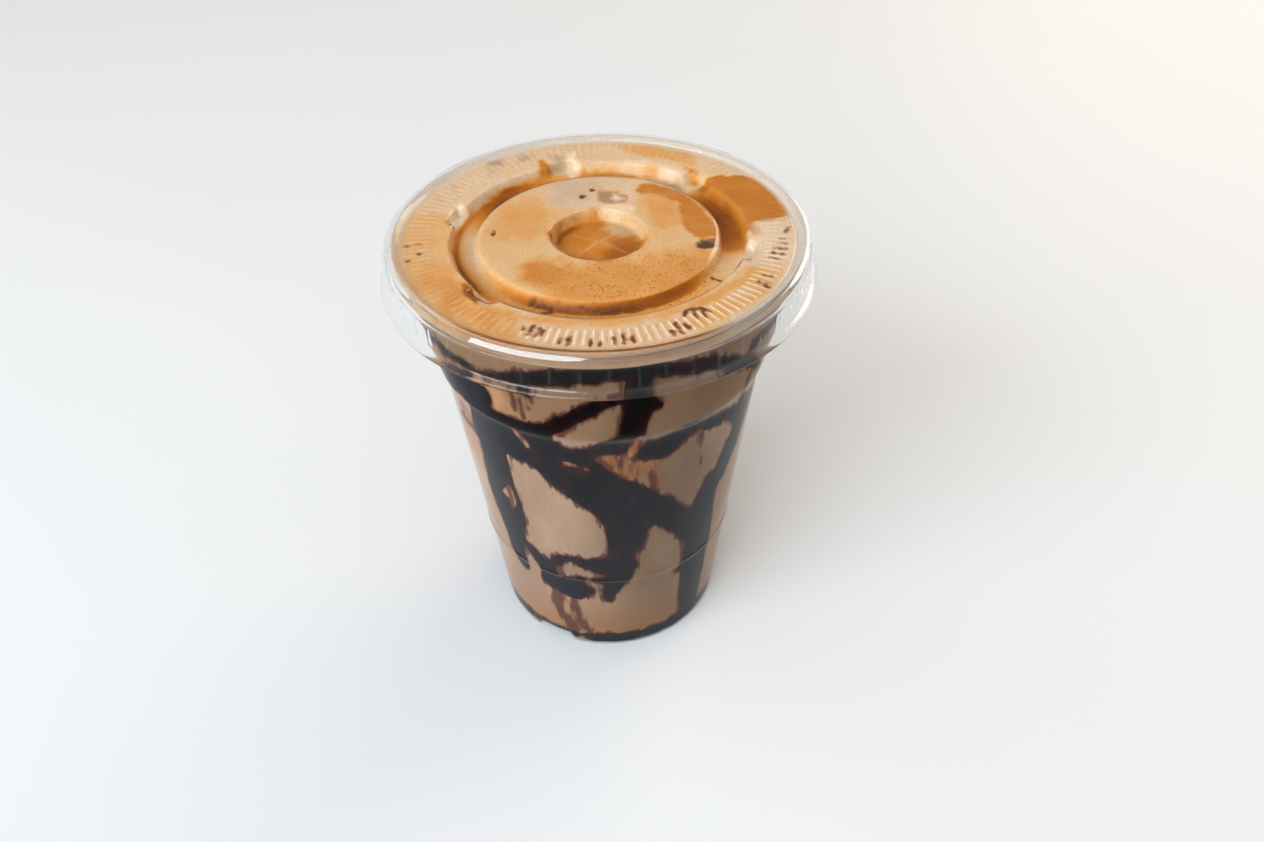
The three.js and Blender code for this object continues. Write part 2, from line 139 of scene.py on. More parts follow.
class Colours(bpy.types.PropertyGroup):
    """The colours of plastic, coffee, syrup, foam and table"""

    coffee: colour("Coffee", "#A38670", "Milky coffee behind the misted wall")
    coffee_deep: colour("Steeped coffee", "#90745F", "Coffee with more syrup stirred in")
    # coffee over the ledge: browner behind the clear wall, and darker as painted shade under the lid
    coffee_high_shaded: colour("Coffee over the ledge", "#816145", "Coffee behind the clear upper wall")
    coffee_low: colour("Coffee by the foot", "#8C6342", "Coffee where syrup has settled")
    # painted shade: how much darker the coffee is painted in the cup's shaded quarter
    dusk: colour("Dusk", "#C3C0BA", "How much darker the coffee lies in the cup's shaded quarter")
    peach: colour("Peach", "#A37756", "Coffee shining through a film of syrup")
    amber: colour("Amber", "#865535", "Coffee shining through thin syrup")
    syrup: colour("Syrup", "#070304", "Chocolate syrup on the wall")
    syrup_edge: colour("Syrup's edge", "#2A100C", "Syrup thinning out at its edges")
    syrup_thin: colour("Thin syrup", "#4A2820", "Syrup run thin, with coffee shining through")
    # mist: also painted reflection of the room on the wall, greying the syrup most to the sides
    mist: colour("Mist", "#1A1C21", "What mist on the lower wall adds to the syrup behind it")
    foam_pale: colour("Pale foam", "#C9AD90", "Dry foam")
    foam_light: colour("Moist foam", "#CAA271", "Foam with a little coffee in it")
    foam_gold: colour("Golden foam", "#C68A49", "Foam wet with coffee")
    foam_deep: colour("Wet foam", "#AD6715", "Coffee pressed flat against the lid")
    # foam_brown and the tones next to it also give the painted shade in the groove
    foam_brown: colour("Groove foam", "#8C4606", "Thin coffee standing in the groove")
    foam_dark: colour("Dark drops", "#4A2A12", "Coffee in open bubbles and between ribs")
    foam_grey: colour("Grey foam", "#998874", "Large open bubbles")
    # white foam colour: dry froth, and also painted highlights in the foam
    foam_white_and_highlight: colour("White froth", "#E9D3B8", "Dry froth")
    foam_lip: colour("Foam on the rim", "#BAB0A2", "The thin film of foam over the cup's rim")
    plastic: colour("Plastic", "#FBFCFC", "Clear PET")
    table: colour("Table", "#CCCCCC", "Plain pale table")


# ---------------------------------------------------------------- lines, turned pieces and fields


def sizes_of(group):
    """A property group's lengths in millimetres"""
    return {name: getattr(group, name) / MM for name in group.__annotations__}


def rounded(corners, turns=4):
    """A line through corners (radius, height, rounding), each rounded corner drawn as a short curve"""
    line = [np.array(corners[0][:2], float)]
    for before, here, after in zip(corners, corners[1:], corners[2:]):
        p, q, s = (np.array(corner[:2], float) for corner in (before, here, after))
        back, ahead = np.linalg.norm(p - q), np.linalg.norm(s - q)
        reach = 0
        if here[2] > 0:
            half = math.acos(np.clip((p - q) @ (s - q) / (back * ahead), -1, 1)) / 2
            reach = min(here[2] / math.tan(half), 0.48 * back, 0.48 * ahead)
        if reach < 0.02:
            line.append(q)
            continue
        start, end = q + (p - q) / back * reach, q + (s - q) / ahead * reach
        for t in np.linspace(0, 1, turns + 1):
            line.append((1 - t) ** 2 * start + 2 * t * (1 - t) * q + t * t * end)
    line.append(np.array(corners[-1][:2], float))
    return line


def stepped(line, step):
    """The same line with no stretch longer than a step"""
    made = [np.array(line[0], float)]
    for a, b in zip(line, line[1:]):
        a, b = np.array(a, float), np.array(b, float)
        count = max(1, math.ceil(np.linalg.norm(b - a) / step - 0.001))
        made += [a + (b - a) * i / count for i in range(1, count + 1)]
    return made


def beside(line, distance):
    """The same line moved to the right of its direction; points on the axis stay on it"""
    line = np.array(line, float)
    along = np.gradient(line, axis=0)
    along /= np.linalg.norm(along, axis=1, keepdims=True)
    moved = line + np.stack([along[:, 1], -along[:, 0]], 1) * distance
    moved[line[:, 0] == 0, 0] = 0
    return moved


def arc(radius, height, size, start, end, steps):
    """Points on a circle in the section plane, angles in degrees counted up from outwards"""
    angles = np.radians(np.linspace(start, end, steps + 1))
    return [(radius + size * math.cos(a), height + size * math.sin(a)) for a in angles]


def turned(name, line, columns):
    """Draws a line point by point and turns it round Z into a piece with its faces outwards"""
    bpy.ops.object.select_all(action="DESELECT")
    bpy.ops.mesh.primitive_plane_add(size=MM)
    piece = bpy.context.object
    piece.name = piece.data.name = name
    bpy.ops.object.mode_set(mode="EDIT")
    bpy.ops.mesh.select_mode(type="VERT")
    bpy.ops.mesh.select_all(action="SELECT")
    bpy.ops.mesh.merge(type="CENTER")
    bpy.ops.transform.translate(value=(line[0][0] * MM, 0, line[0][1] * MM))
    for a, b in zip(line, line[1:]):
        step = ((b[0] - a[0]) * MM, 0, (b[1] - a[1]) * MM)
        bpy.ops.mesh.extrude_vertices_move(TRANSFORM_OT_translate={"value": step})
    bpy.ops.object.mode_set(mode="OBJECT")
    lathe = piece.modifiers.new("lathe", "SCREW")
    lathe.steps = lathe.render_steps = columns
    lathe.use_merge_vertices = True
    lathe.merge_threshold = 2e-7
    bpy.ops.object.modifier_apply(modifier=lathe.name)
    bpy.ops.object.mode_set(mode="EDIT")
    bpy.ops.mesh.select_all(action="SELECT")
    bpy.ops.mesh.remove_doubles(threshold=2e-7)
    bpy.ops.mesh.normals_make_consistent(inside=False)
    bpy.ops.object.mode_set(mode="OBJECT")
    return piece


def places(piece):
    """Where a piece's vertices are, in millimetres"""
    found = np.zeros(len(piece.data.vertices) * 3, np.float32)
    piece.data.vertices.foreach_get("co", found)
    return found.reshape(-1, 3).astype(float) / MM


def place(piece, points):
    """Moves a piece's vertices to these places, in millimetres"""
    piece.data.vertices.foreach_set("co", (np.asarray(points) * MM).astype(np.float32).ravel())
    piece.data.update()


def around(points):
    """Radius, angle from the front in degrees, and height of each point"""
    x, y, z = points.T
    return np.hypot(x, y), np.degrees(np.arctan2(x, -y)), z


def pick(piece, chosen):
    """Opens a piece for editing with these vertices selected"""
    mesh = piece.data
    mesh.polygons.foreach_set("select", np.zeros(len(mesh.polygons), bool))
    mesh.edges.foreach_set("select", np.zeros(len(mesh.edges), bool))
    mesh.vertices.foreach_set("select", np.ascontiguousarray(chosen, bool))
    bpy.context.view_layer.objects.active = piece
    bpy.ops.object.mode_set(mode="EDIT")
    bpy.ops.mesh.select_mode(type="VERT")


def turn_from(angle, middle):
    """How far angles lie from a middle one, -180 to 180 degrees"""
    return (angle - middle + 180) % 360 - 180


def column_of(angle):
    """The column of the lid's or foam's grid at each angle"""
    return np.round((angle - 90) / 360 * LID_COLUMNS).astype(int) % LID_COLUMNS


def paint(piece, **layers):
    """Keeps one number for each vertex and layer, for the material to read"""
    for name, values in layers.items():
        layer = piece.data.attributes.new(name, "FLOAT", "POINT")
        layer.data.foreach_set("value", np.asarray(values, np.float32))


def wander(points, size, seed, waves=20):
    """A smooth random field about 1 high, its bumps about this many millimetres long"""
    draw = np.random.default_rng(seed)
    ways = draw.normal(size=(waves, 3))
    ways *= (2 * math.pi / size * draw.uniform(0.55, 1.4, waves) / np.linalg.norm(ways, axis=1))[:, None]
    return np.cos(points @ ways.T + draw.uniform(0, 2 * math.pi, waves)).sum(1) * math.sqrt(2 / waves)


def ramp(values, low, high):
    """0 at low, 1 at high, smooth between"""
    t = np.clip((values - low) / (high - low), 0, 1)
    return t * t * (3 - 2 * t)


def blob_distance(x, y, outline):
    """Distance to a closed outline, below 0 inside it"""
    corners = np.array(outline, float)
    nearest = np.full(x.shape, 1e9)
    inside = np.zeros(x.shape, bool)
    for (ax, ay), (bx, by) in zip(corners, np.roll(corners, -1, axis=0)):
        ex, ey = bx - ax, by - ay
        t = np.clip(((x - ax) * ex + (y - ay) * ey) / (ex * ex + ey * ey), 0, 1)
        nearest = np.minimum(nearest, np.hypot(x - ax - t * ex, y - ay - t * ey))
        if ay != by:
            inside ^= ((ay > y) != (by > y)) & (x < ex * (y - ay) / ey + ax)
    return np.where(inside, -nearest, nearest)


def curve_through(points, step):
    """Points along a smooth curve through (angle, height, half width), a step apart in millimetres"""
    line = np.array(points, float)
    line = np.vstack([2 * line[0] - line[1], line, 2 * line[-1] - line[-2]])
    degree = 0.65  # millimetres on the wall
    made = []
    for p0, p1, p2, p3 in zip(line, line[1:], line[2:], line[3:]):
        size = math.hypot((p2[0] - p1[0]) * degree, p2[1] - p1[1])
        for t in np.linspace(0, 1, max(2, math.ceil(size / step)), endpoint=False):
            bend = (2 * p0 - 5 * p1 + 4 * p2 - p3) * t * t + (3 * p1 - p0 - 3 * p2 + p3) * t**3
            made.append((2 * p1 + (p2 - p0) * t + bend) / 2)
    return made + [line[-2]]


def run_distance(angle, height, radius, runs, blend):
    """Distance in millimetres to the edge of a set of runs on the wall, below 0 on them"""
    far, thinnest = 60.0, 0.2
    total = np.full(angle.shape, far)
    for run in runs:
        nearest = np.full(angle.shape, far)
        for middle, level, half in curve_through(run, 1.0):
            close = np.abs(height - level) < far / 2
            turn = np.radians(turn_from(angle[close], middle)) * radius[close]
            reach = np.hypot(turn, height[close] - level) - max(half, thinnest)
            nearest[close] = np.minimum(nearest[close], reach)
        mix = np.clip(0.5 + 0.5 * (nearest - total) / blend, 0, 1)
        total = nearest * (1 - mix) + total * mix - blend * mix * (1 - mix)
    return total


# ---------------------------------------------------------------- shapes


VENTS = [-32, 88, 208]
VENT_LEVEL = 3.45


def lift_vents(piece, vent):
    """Squeezes the foot ring up where the vents are, a little less towards their corners"""
    radius, angle, height = around(places(piece))
    low = (radius > 27) & (height < VENT_LEVEL)
    left = 1.0
    for half, gap in ((10.6, 0.35), (9.7, 0.75), (8.8, 0.93), (7.6, 1)):
        chosen = np.zeros(len(radius), bool)
        for middle in VENTS:
            chosen |= np.abs(turn_from(angle, middle)) < half
        share = (1 - vent * gap / VENT_LEVEL) / left
        left *= share
        pick(piece, chosen & low)
        bpy.ops.transform.resize(value=(1, 1, share), center_override=(0, 0, VENT_LEVEL * MM))
        bpy.ops.object.mode_set(mode="OBJECT")


def wall_inside(s, bite):
    """Corners of the cup's inside from the axis to the throat, moved into the sheet by a bite"""
    foot_inner = s["foot"] - s["foot_width"]
    return [
        (0, s["base"] + s["wall"] - bite, 0),
        (foot_inner - 0.25 - bite, s["base"] + s["wall"] - bite, 0.4),
        (foot_inner + 0.55 - bite, s["wall"] - bite, 0.3),
        (s["foot"] - 0.48 + bite, s["wall"] - bite, 0.3),
        (s["base_radius"] - s["wall"] + bite, s["base"], 2),
        (s["ledge_low_radius"] - s["wall"] + bite, s["ledge_low"] + 0.1, 1.5),
        (s["ledge_high_radius"] - s["wall"] + bite, s["ledge_high"] + 0.1, 1.5),
        (s["throat_radius"] - s["wall"] + bite, s["throat"], 0.5),
    ]


def up_to(line, height):
    """The part of a line that rises to a height, and its point there"""
    made = []
    for a, b in zip(line, line[1:]):
        made.append(a)
        if a[1] < height <= b[1]:
            made.append(a + (b - a) * (height - a[1]) / (b[1] - a[1]))
            break
    return made


def lid_line(s):
    """The lid's top surface from the middle to the flange's edge"""
    high, panel = s["plateau_height"], s["panel_height"]
    middle = [
        (0, s["dimple_height"] + 1, 0),
        (s["dimple"], s["dimple_height"], 0.9),
        (s["dimple"] + 0.9, high, 0.8),
        (s["plateau"] - 2.2, high, 0),
        (s["plateau"] + 0.2, high - 0.1, 1.9),
        (s["groove_inner"], s["groove_height"], 0.9),
        (s["groove_outer"], s["groove_height"], 0.9),
        (s["groove_outer"] + 1.3, panel, 0.9),
        (39.2, panel, 0),
        (39.8, panel, 0),
        (45.2, panel, 0),
        (45.7, panel, 0),
        (s["panel"] + 0.2, panel, 0.5),
    ]
    # the bead's two slopes are a little flatter than round, so they mirror the windows in broad bands
    bead = []
    for way in np.linspace(164, -12, 15):
        flat = max(math.cos(math.radians(3 * min(30, abs(way - slope)))) ** 2 for slope in (40, 120))
        bead += arc(s["bead_centre"], s["bead_height"], s["bead"] * (1 - 0.07 * flat), way, way, 0)
    skirt = [
        (s["skirt"] + 0.02, 114.9, 0.4),
        (s["skirt"], 114.4, 0),
        (s["skirt"] + 0.02, 113.9, 0),
        (s["skirt"] + 0.1, 110.2, 0),
        (s["skirt"] + 0.1, 109.6, 0),
        (s["skirt"] + 0.5, s["flange_height"] + 0.8, 0.5),
        (s["flange"], s["flange_height"] + 0.42, 0),
    ]
    line = stepped(rounded(middle + [(*bead[0], 0)], 3), 1.4)
    return line + [np.array(p) for p in bead[1:]] + stepped(rounded([(*bead[-1], 0)] + skirt, 2), 1.6)[1:]


POCKETS = [-46, 74, 134, 194, 254]
SCORES = [46, -34]


def press_pockets(piece, bed):
    """Re-lays the rings between the groove and the panel into soft-sided pocket beds"""
    points = places(piece)
    radius, angle, height = around(points)
    inner, outer = bed[0][0], bed[-1][0]
    share = np.zeros(len(radius))
    for middle in POCKETS:
        share = np.maximum(share, 1 - ramp(np.abs(turn_from(angle, middle)), 4.4, 8))
    chosen = (share > 0) & (radius > inner) & (radius < outer) & (height > 113)
    bed = np.array(bed, float)
    along = np.concatenate([[0], np.cumsum(np.linalg.norm(np.diff(bed, axis=0), axis=1))])
    wall = np.clip(height - height[chosen].min(), 0, None)
    way = (radius - inner + wall) / (outer - inner + wall[chosen].max())
    way, share = way[chosen] * along[-1], share[chosen]
    swell = 1 + share * (np.interp(way, along, bed[:, 0]) / radius[chosen] - 1)
    points[chosen, :2] *= swell[:, None]
    points[chosen, 2] += share * (np.interp(way, along, bed[:, 1]) - points[chosen, 2])
    place(piece, points)


# What shows in the foam under the lid, painted in this order. Outlines are millimetres on the lid's plane,
# x to the right, y back; then how soft the edge is in millimetres and how wet the foam looks, 0 to 2.5; some
# darker tones stand for painted shade, as marked
FOAM_TONES = [
    # left and front of the outer ring
    ([(-46.5, 10.8), (-36.3, 10.5), (-34.8, 4), (-34.8, -6), (-31.5, -16), (-29.5, -22), (-26.5, -28),
      (-22, -30), (-19, -32), (-18.5, -36), (-18.5, -40.5), (-22, -41.5), (-32, -34), (-40, -24),
      (-45, -12), (-47, 0)], 0.8, 0.62),
    ([(-44, -13), (-37, -12), (-31, -19), (-27, -28.5), (-20, -31), (-18.5, -36), (-19, -40), (-24, -40.5),
      (-33, -33)], 4, 1.08),
    ([(-18, -33.5), (-8, -34.8), (4, -35), (16, -32), (24, -27), (29, -22), (34, -16.5), (37, -19),
      (33, -25), (28, -27.5), (20, -33.5), (12, -36.5), (0, -38), (-10, -37.5), (-16, -35)], 1.6, 0.92),
    ([(17, -36.5), (24, -33), (32, -27), (37, -20), (41, -20), (36, -28), (27, -36.5),
      (19, -41)], 2.5, 0.75),
    # back of the outer ring
    ([(5, 44.5), (10, 45), (16, 43), (22, 40.5), (25.5, 37), (26.5, 32), (24, 31), (21.5, 33.5), (16, 36.5),
      (11, 38.5), (7, 40.5)], 1.5, 0.85),
    ([(-6, 40), (2, 41), (9, 37), (9, 32), (4, 31.5), (-5, 31.8)], 2, 0.25),
    ([(-14.8, 37.5), (-13, 35.5), (-11, 33), (-12, 30), (-14.5, 29.5)], 0.8, 1.4),
    ([(12, 32.5), (15, 33.5), (16.5, 31), (15, 28.5), (12.5, 29)], 1, 1.1),
    ([(23, 31), (25, 30), (26.5, 26.5), (25, 24.5), (23.5, 27)], 1, 1.5),
    # the raised middle
    ([(-26, 3), (-25.5, 10), (-22, 17), (-16, 19.5), (-12, 17), (-12, 9), (-14, 2), (-18, -2),
      (-23, -2)], 3, 0.85),
    ([(-12, 14), (-14, 22), (-8, 28), (4, 28.5), (10, 25), (11, 14), (4, 11), (-5, 12)], 3, 0.05),
    ([(10.5, 19), (20, 19), (20, 4), (15, 2), (11, 8)], 2, 0.95),
    ([(-17, -14), (-10, -12), (0, -12.8), (9, -11.5), (16, -9), (22, -8), (29, -10), (28, -16), (22, -24),
      (12, -30), (0, -32), (-8, -30), (-13, -24), (-16, -20)], 3, 1.05),
    ([(-18, -12), (-14, -10), (-10, -10.5), (-8, -14), (-8, -19), (-13, -21), (-17, -18)], 2.5, 1.35),
    ([(0.3, 16), (0.6, 19.8), (2.6, 21.4), (5.4, 20.6), (7.2, 17.6), (6.4, 14.8), (3.6, 13.6),
      (1.4, 14.2)], 0.9, 1.8),
    # amber shell by a pocket
    ([(-30.5, -20.5), (-28, -22), (-26.5, -26), (-27, -28.5), (-29, -26.5), (-30, -23.5)], 0.5, 2.0),
    # the dimple; the dark crescent on its back-left wall is painted shadow, its pale back-right wall painted
    # light
    ([(-10.4, 0), (-7.4, 7.4), (0, 10.4), (7.4, 7.4), (10.4, 0), (7.4, -7.4), (0, -10.4),
      (-7.4, -7.4)], 0.8, 1.4),
    ([(-11.5, -2), (-10.5, 5), (-6, 10), (0, 11.8), (3, 11), (1, 5), (-7, 1)], 1.2, 1.5),
    ([(4, 0), (9, 3.5), (11, -3), (7, -9), (0, -11), (2, -4)], 3, 1.9),
    ([(2, 11), (7, 9.4), (11.4, 4), (8, 3.6), (3, 4.4), (1, 7)], 2.5, 0.3),
    ([(-11, 1), (-10, 5), (-6.5, 8.6), (-5, 8), (-6, 6), (-8.5, 3.5), (-9.6, 0)], 0.9, 2.1),
    # coffee pressed flat against the lid, right
    ([(9.5, 20), (11, 23), (14, 24), (17, 22.5), (20, 19.5), (23.5, 15), (26, 10), (27.8, 4), (28, -3),
      (24.5, -3.8), (22, -2.5), (20.5, 1), (20, 4), (19, 9), (20.5, 13), (17, 17), (13, 18.5),
      (11, 18)], 0.7, 1.5),
    ([(22, 20), (25, 23.5), (27, 25.2), (31, 25.8), (36, 25.2), (40, 24), (43, 20), (45, 14.5), (46.3, 8),
      (46, 5), (43, 3.2), (38, 2.6), (36.8, 1.3), (38.5, -0.3), (38.3, -3), (36.5, -3.8), (35.5, -1.8),
      (35, -4.5), (33.5, -9), (30.5, -10.5), (28.5, -9.5), (28, -4), (27.9, 4), (26, 10),
      (23.5, 16)], 0.5, 1.5),
]
# How wet and how shaded the groove looks by its inner and outer edge, the darker tones partly painted shade:
# degrees from the front, tone, tone
GROOVE_WET_AND_SHADE = [
    (-180, 1.6, 1.3), (-165, 1.3, 1.0), (-150, 2.1, 1.6), (-140, 2.4, 2.1), (-125, 2.3, 2.0),
    (-110, 1.3, 1.1), (-95, 0.2, 0.5), (-80, 0.2, 1.0), (-60, 0.5, 1.5), (-50, 0.8, 1.2), (-40, 0.9, 1.0),
    (45, 1.0, 0.9), (60, 0.7, 0.5), (68, 0.5, 0.3), (76, 0.9, 0.6), (82, 1.8, 1.6), (92, 2.2, 2.0),
    (110, 2.2, 2.0), (122, 2.0, 1.8), (131, 1.2, 1.3), (136, 0.3, 0.3), (150, 0.2, 0.5), (165, 0.8, 1.3),
    (180, 1.6, 1.2),
]
# The plateau's wall in front, from its edge to its foot, darker towards the foot as painted shade: degrees
# from the front, tone, tone
WALL_SHADE_TONES = [
    (-70, 0.5, 0.7), (-50, 0.6, 1.2), (-32, 0.8, 1.7), (-15, 1.0, 2.2), (0, 1.3, 2.4), (12, 1.9, 2.3),
    (26, 2.3, 2.1), (42, 2.2, 1.8), (55, 1.3, 1.0), (66, 0.6, 0.5),
]
# Open bubbles, grey: outline, softness, strength
GREY_FOAM = [
    ([(14, 27), (17, 28.5), (20, 27), (21.5, 23.5), (20, 22.5), (17, 24)], 1.2, 0.9),
    ([(2.5, 10), (7, 8.4), (9.6, 5), (7.6, 2.6), (3.6, 3.6)], 3, 0.3),
    ([(-12, 17), (-11, 26), (-3, 27), (1, 22), (-4, 15), (-10, 14)], 4, 0.36),
    ([(0.3, 16), (0.6, 19.8), (2.6, 21.4), (5.4, 20.6), (7.2, 17.6), (6.4, 14.8), (3.6, 13.6),
      (1.4, 14.2)], 0.5, 0.6),
    ([(-28.6, 38.2), (-25.2, 37.8), (-24.8, 35), (-28, 35)], 1.2, 1.0),
    ([(-20, 40.4), (-16.6, 40.4), (-16.6, 37.3), (-19.8, 37.3)], 1.2, 0.8),
    ([(-13, 40), (-8.6, 40), (-7.6, 35.5), (-10.4, 35)], 1.4, 0.8),
    ([(-29, 34), (-26, 33), (-26, 30.5), (-28.5, 31)], 1.6, 0.35),
    ([(-38, 27), (-35, 26), (-35.5, 23), (-37.5, 23.5)], 1.6, 0.3),
    ([(-41, 21), (-38.5, 20), (-39, 17), (-41, 17)], 1.4, 0.35),
    ([(38, 2), (46, 3), (46, -14), (38, -16), (35, -8), (36, -1)], 2.5, 0.36),
]
# Dry white froth, and painted highlights at the back of the groove and on the left pocket: outline,
# softness, strength
WHITE_FOAM_AND_HIGHLIGHTS = [
    ([(1, 11), (1.5, 13.6), (5, 14), (9, 11.5), (8, 9.5)], 1.2, 0.4),
    ([(3, 19.8), (4.6, 20), (5.8, 18.4), (6, 16.4), (4.6, 15.4), (3.2, 16.4)], 1.1, 0.8),
    ([(38, 2), (46, 3), (46, -14), (38, -16), (35, -8), (36, -1)], 2.5, 0.4),
    ([(7, 36), (12, 35.6), (18, 32.5), (21, 30), (19.5, 28.5), (14, 33.5), (8, 34.5)], 1.2, 0.4),
    ([(9, 26.5), (10, 33), (12, 32.5), (12.5, 28), (22, 22), (24, 24), (22, 21), (18, 22),
      (12, 25)], 1.2, 0.4),
    ([(-8, 40), (-5.5, 41), (-5, 34), (-6.5, 31.5), (-8, 35)], 1, 0.6),
    ([(-34, 17), (-32.6, 14), (-33.5, 9), (-35.4, 7.6), (-36, 10), (-35, 14)], 1, 0.7),
]
# Where fine pores show
FINE_FROTH = [
    (-4, -13), (10, -10), (24, -9), (27, -14), (20, -24), (8, -29), (-6, -28), (-14, -24), (-12, -16),
]
# Open bubbles and specks: x, y, half length, half width, turn in degrees, depth
HOLES = [
    (25.2, -6.0, 2.7, 1.9, 25, 1.3), (-25, 1.5, 0.9, 0.5, 80, 0.8),
    (-42, -3, 0.5, 0.4, 0, 0.6), (-41.3, -7, 0.7, 0.5, 60, 0.7), (-44.5, -3.8, 0.7, 0.4, 0, 0.5),
    (-44, -10.4, 0.5, 0.35, 20, 0.5), (32, -13.6, 0.7, 0.6, 0, 0.8), (44.6, -1.6, 0.9, 0.4, 60, 0.6),
    (-15.2, -25.2, 0.8, 0.5, 0, 0.6), (-11.2, -28.1, 1.5, 0.5, 20, 0.6), (36.8, -25, 0.9, 0.6, 60, 0.7),
    (24.2, -22.6, 0.4, 0.4, 0, 0.5), (-3.8, 17.8, 0.9, 0.6, 60, 0.4), (-1.4, 21, 0.6, 0.5, 60, 0.4),
]
# Thin dark threads and strokes of coffee: x, y along them, half width last
THREADS = [
    [(32.2, -14.2), (31, -16.6), (29, -19), 0.12],
    [(25.4, -17), (27.2, -18.2), 0.2], [(-14, -26.1), (-9, -28.2), (-4, -29.2), 0.2],
    [(17.4, -35.4), (18, -33.8), (19.6, -32.9), (21.6, -32.9), (22.8, -34.2), 0.4],
    [(19.4, -33), (20.2, -36.2), 0.3], [(21.6, -33), (22, -36), 0.25], [(-30, -20.6), (-29, -24),
     (-27.4, -27), 0.3],
    [(-28.2, -22.4), (-26.8, -26), 0.25],
]
# How strongly the ribs' painted highlights and shade show in the foam: degrees from the front, share
RIB_HIGHLIGHTS_SEEN = [
    (-180, 0), (-110, 0), (-90, 0.2), (-72, 0.45), (-45, 0.55), (-26, 0.55), (-18, 1), (45, 1), (62, 0.8),
    (80, 0.6), (88, 0.2), (100, 0.35), (115, 0.2), (130, 0), (180, 0),
]
# Dark drops seen between the ribs: angle from the front, inner and outer radius
RIB_SPECKS = [
    (-23.4, 41.0, 42.0), (-21.0, 39.8, 43.0), (-18.6, 40.2, 43.2), (-17.6, 41, 42.4), (-11.6, 42.9, 44.4),
    (-9.2, 42.2, 44.6), (-3.2, 43.0, 44.8), (-0.6, 43.8, 45.0), (3.2, 42.4, 44.4), (5.8, 41.6, 44.6),
    (8.2, 42.6, 44.6), (19.6, 43.0, 45.0), (22.0, 41.0, 44.6), (24.6, 42.0, 43.8), (56, 42.2, 44.0),
    (60.4, 41.8, 43.6), (71.0, 41.0, 43.6), (73.8, 41.2, 44.2), (76.6, 41.6, 44.4), (79.6, 42.0, 44.2),
    (82.4, 42.4, 43.8),
]

# Chocolate syrup down the inside of the wall: runs of (degrees from the front, height, half width)
FRONT_RUNS = [
    # under the rim
    [(-37, 103, 0.8), (-28, 105, 1.3), (-20, 106.7, 2.0), (-12, 108.2, 2.7), (0, 109.8, 2.8),
     (12, 109.4, 2.6), (20, 108, 1.9), (30, 106.4, 2.1), (37, 103.8, 1.8), (45, 100.6, 1.7),
     (53, 96.6, 1.5), (61, 92, 0.9)],
    [(-24, 105, 1.5), (-23, 102.6, 1.5), (-22.5, 101, 1)],
    # from the rim down, then to the left
    [(10, 109, 3), (9.5, 104, 3.4), (9.5, 98, 3.6), (8, 92, 3), (7, 87, 3.2), (2, 84.5, 2.6),
     (-4, 82.5, 1.8), (-9, 81, 1.2)],
    [(11, 99, 3), (13.5, 98, 2.6), (15.5, 97.4, 1.6)],
    [(6, 101, 1.5), (0, 100.3, 1.8), (-6, 97.5, 2.2), (-12, 94, 2.4), (-18, 90, 2.6), (-24, 87.5, 3.5),
     (-30, 86, 4.5), (-38, 86, 5)],
    # the dark left side
    [(-84, 83, 2.2), (-80, 84.5, 2.5), (-70, 88, 3), (-60, 91, 4), (-50, 94, 5), (-43, 95, 4.8)],
    [(-43, 98, 2.6), (-45, 96, 4.5), (-46, 90, 5), (-47, 84, 5), (-47, 78, 5)],
    [(-46, 84, 5), (-45, 74, 4.8), (-45.5, 68, 5), (-48, 63.5, 3.8), (-50.6, 59, 2.5), (-50.4, 55.5, 2.6),
     (-46.5, 51, 4.8), (-45.4, 47, 5), (-45, 40.5, 3.8), (-46.3, 34, 2.8), (-46, 30, 1.6)],
    [(-39.6, 66, 1), (-38.4, 60, 0.6), (-38, 54, 0.7), (-38.8, 49, 1.4)],
    [(-45, 33, 1.6), (-43, 28.4, 1.5)],
    [(-40, 41, 1.3), (-37, 38.4, 1.7), (-32.5, 35, 2.4), (-27.5, 31, 2.6)],
    # the broad band across the front, and its tail
    [(-40, 80, 5.5), (-30, 80, 6), (-20, 78.5, 7), (-12, 73.8, 7.5), (-4.5, 69, 7.2), (2.6, 63.3, 7),
     (8, 57, 7.5)],
    [(8.4, 62, 7), (8, 54, 6), (7.3, 47, 4.8), (5.5, 42, 3.4), (5, 36, 3.4), (3, 31, 3.2), (0, 27, 2),
     (-1.5, 22, 1)],
    # right of the middle, down to the foot
    [(8, 66, 4.5), (15, 61, 4.2), (22, 56, 4.2), (30, 50, 4.2), (36, 45, 4.6)],
    [(45, 60, 3), (43, 54, 4), (41.5, 46, 5.2), (42.4, 38, 5.3), (42.5, 30, 5), (43, 22, 4.6),
     (44, 14, 4.2), (44.5, 8, 4), (45, 3, 3.6)],
    [(38, 29, 2.4), (34, 28.2, 1.7), (32.6, 27.6, 1.2)],
    [(46, 57, 3), (52, 62, 4), (57, 68, 4.5), (60, 74, 4), (57, 80, 3)],
    [(8, 82, 2.2), (14, 81.5, 3.6), (20, 80.5, 3.2), (26, 83.5, 3), (32, 84.5, 1.8), (40, 82.5, 1.8),
     (48, 81.5, 1.8), (54, 78, 2.2), (58, 75, 2.5)],
    # low on the left
    [(4, 37, 4), (-4, 37.4, 3.2), (-11, 38, 2.3), (-17, 39.4, 1.6), (-22, 38.4, 1.7), (-25.5, 36, 2.1),
     (-28, 33, 2.2)],
    [(-14, 31, 1), (-8, 31, 0.7), (0, 30.8, 1.4)],
    [(-28, 27, 3), (-22, 26, 4.3), (-16, 26, 4.3), (-13.4, 26, 3.2)],
    # the pool round the foot
    [(-180, 3, 1.8), (-90, 3, 1.8), (-44, 3.2, 1.4), (-20, 3, 1.4), (-8, 2.6, 2), (30, 2.6, 2.2),
     (90, 3, 1.8), (180, 3, 1.8)],
]
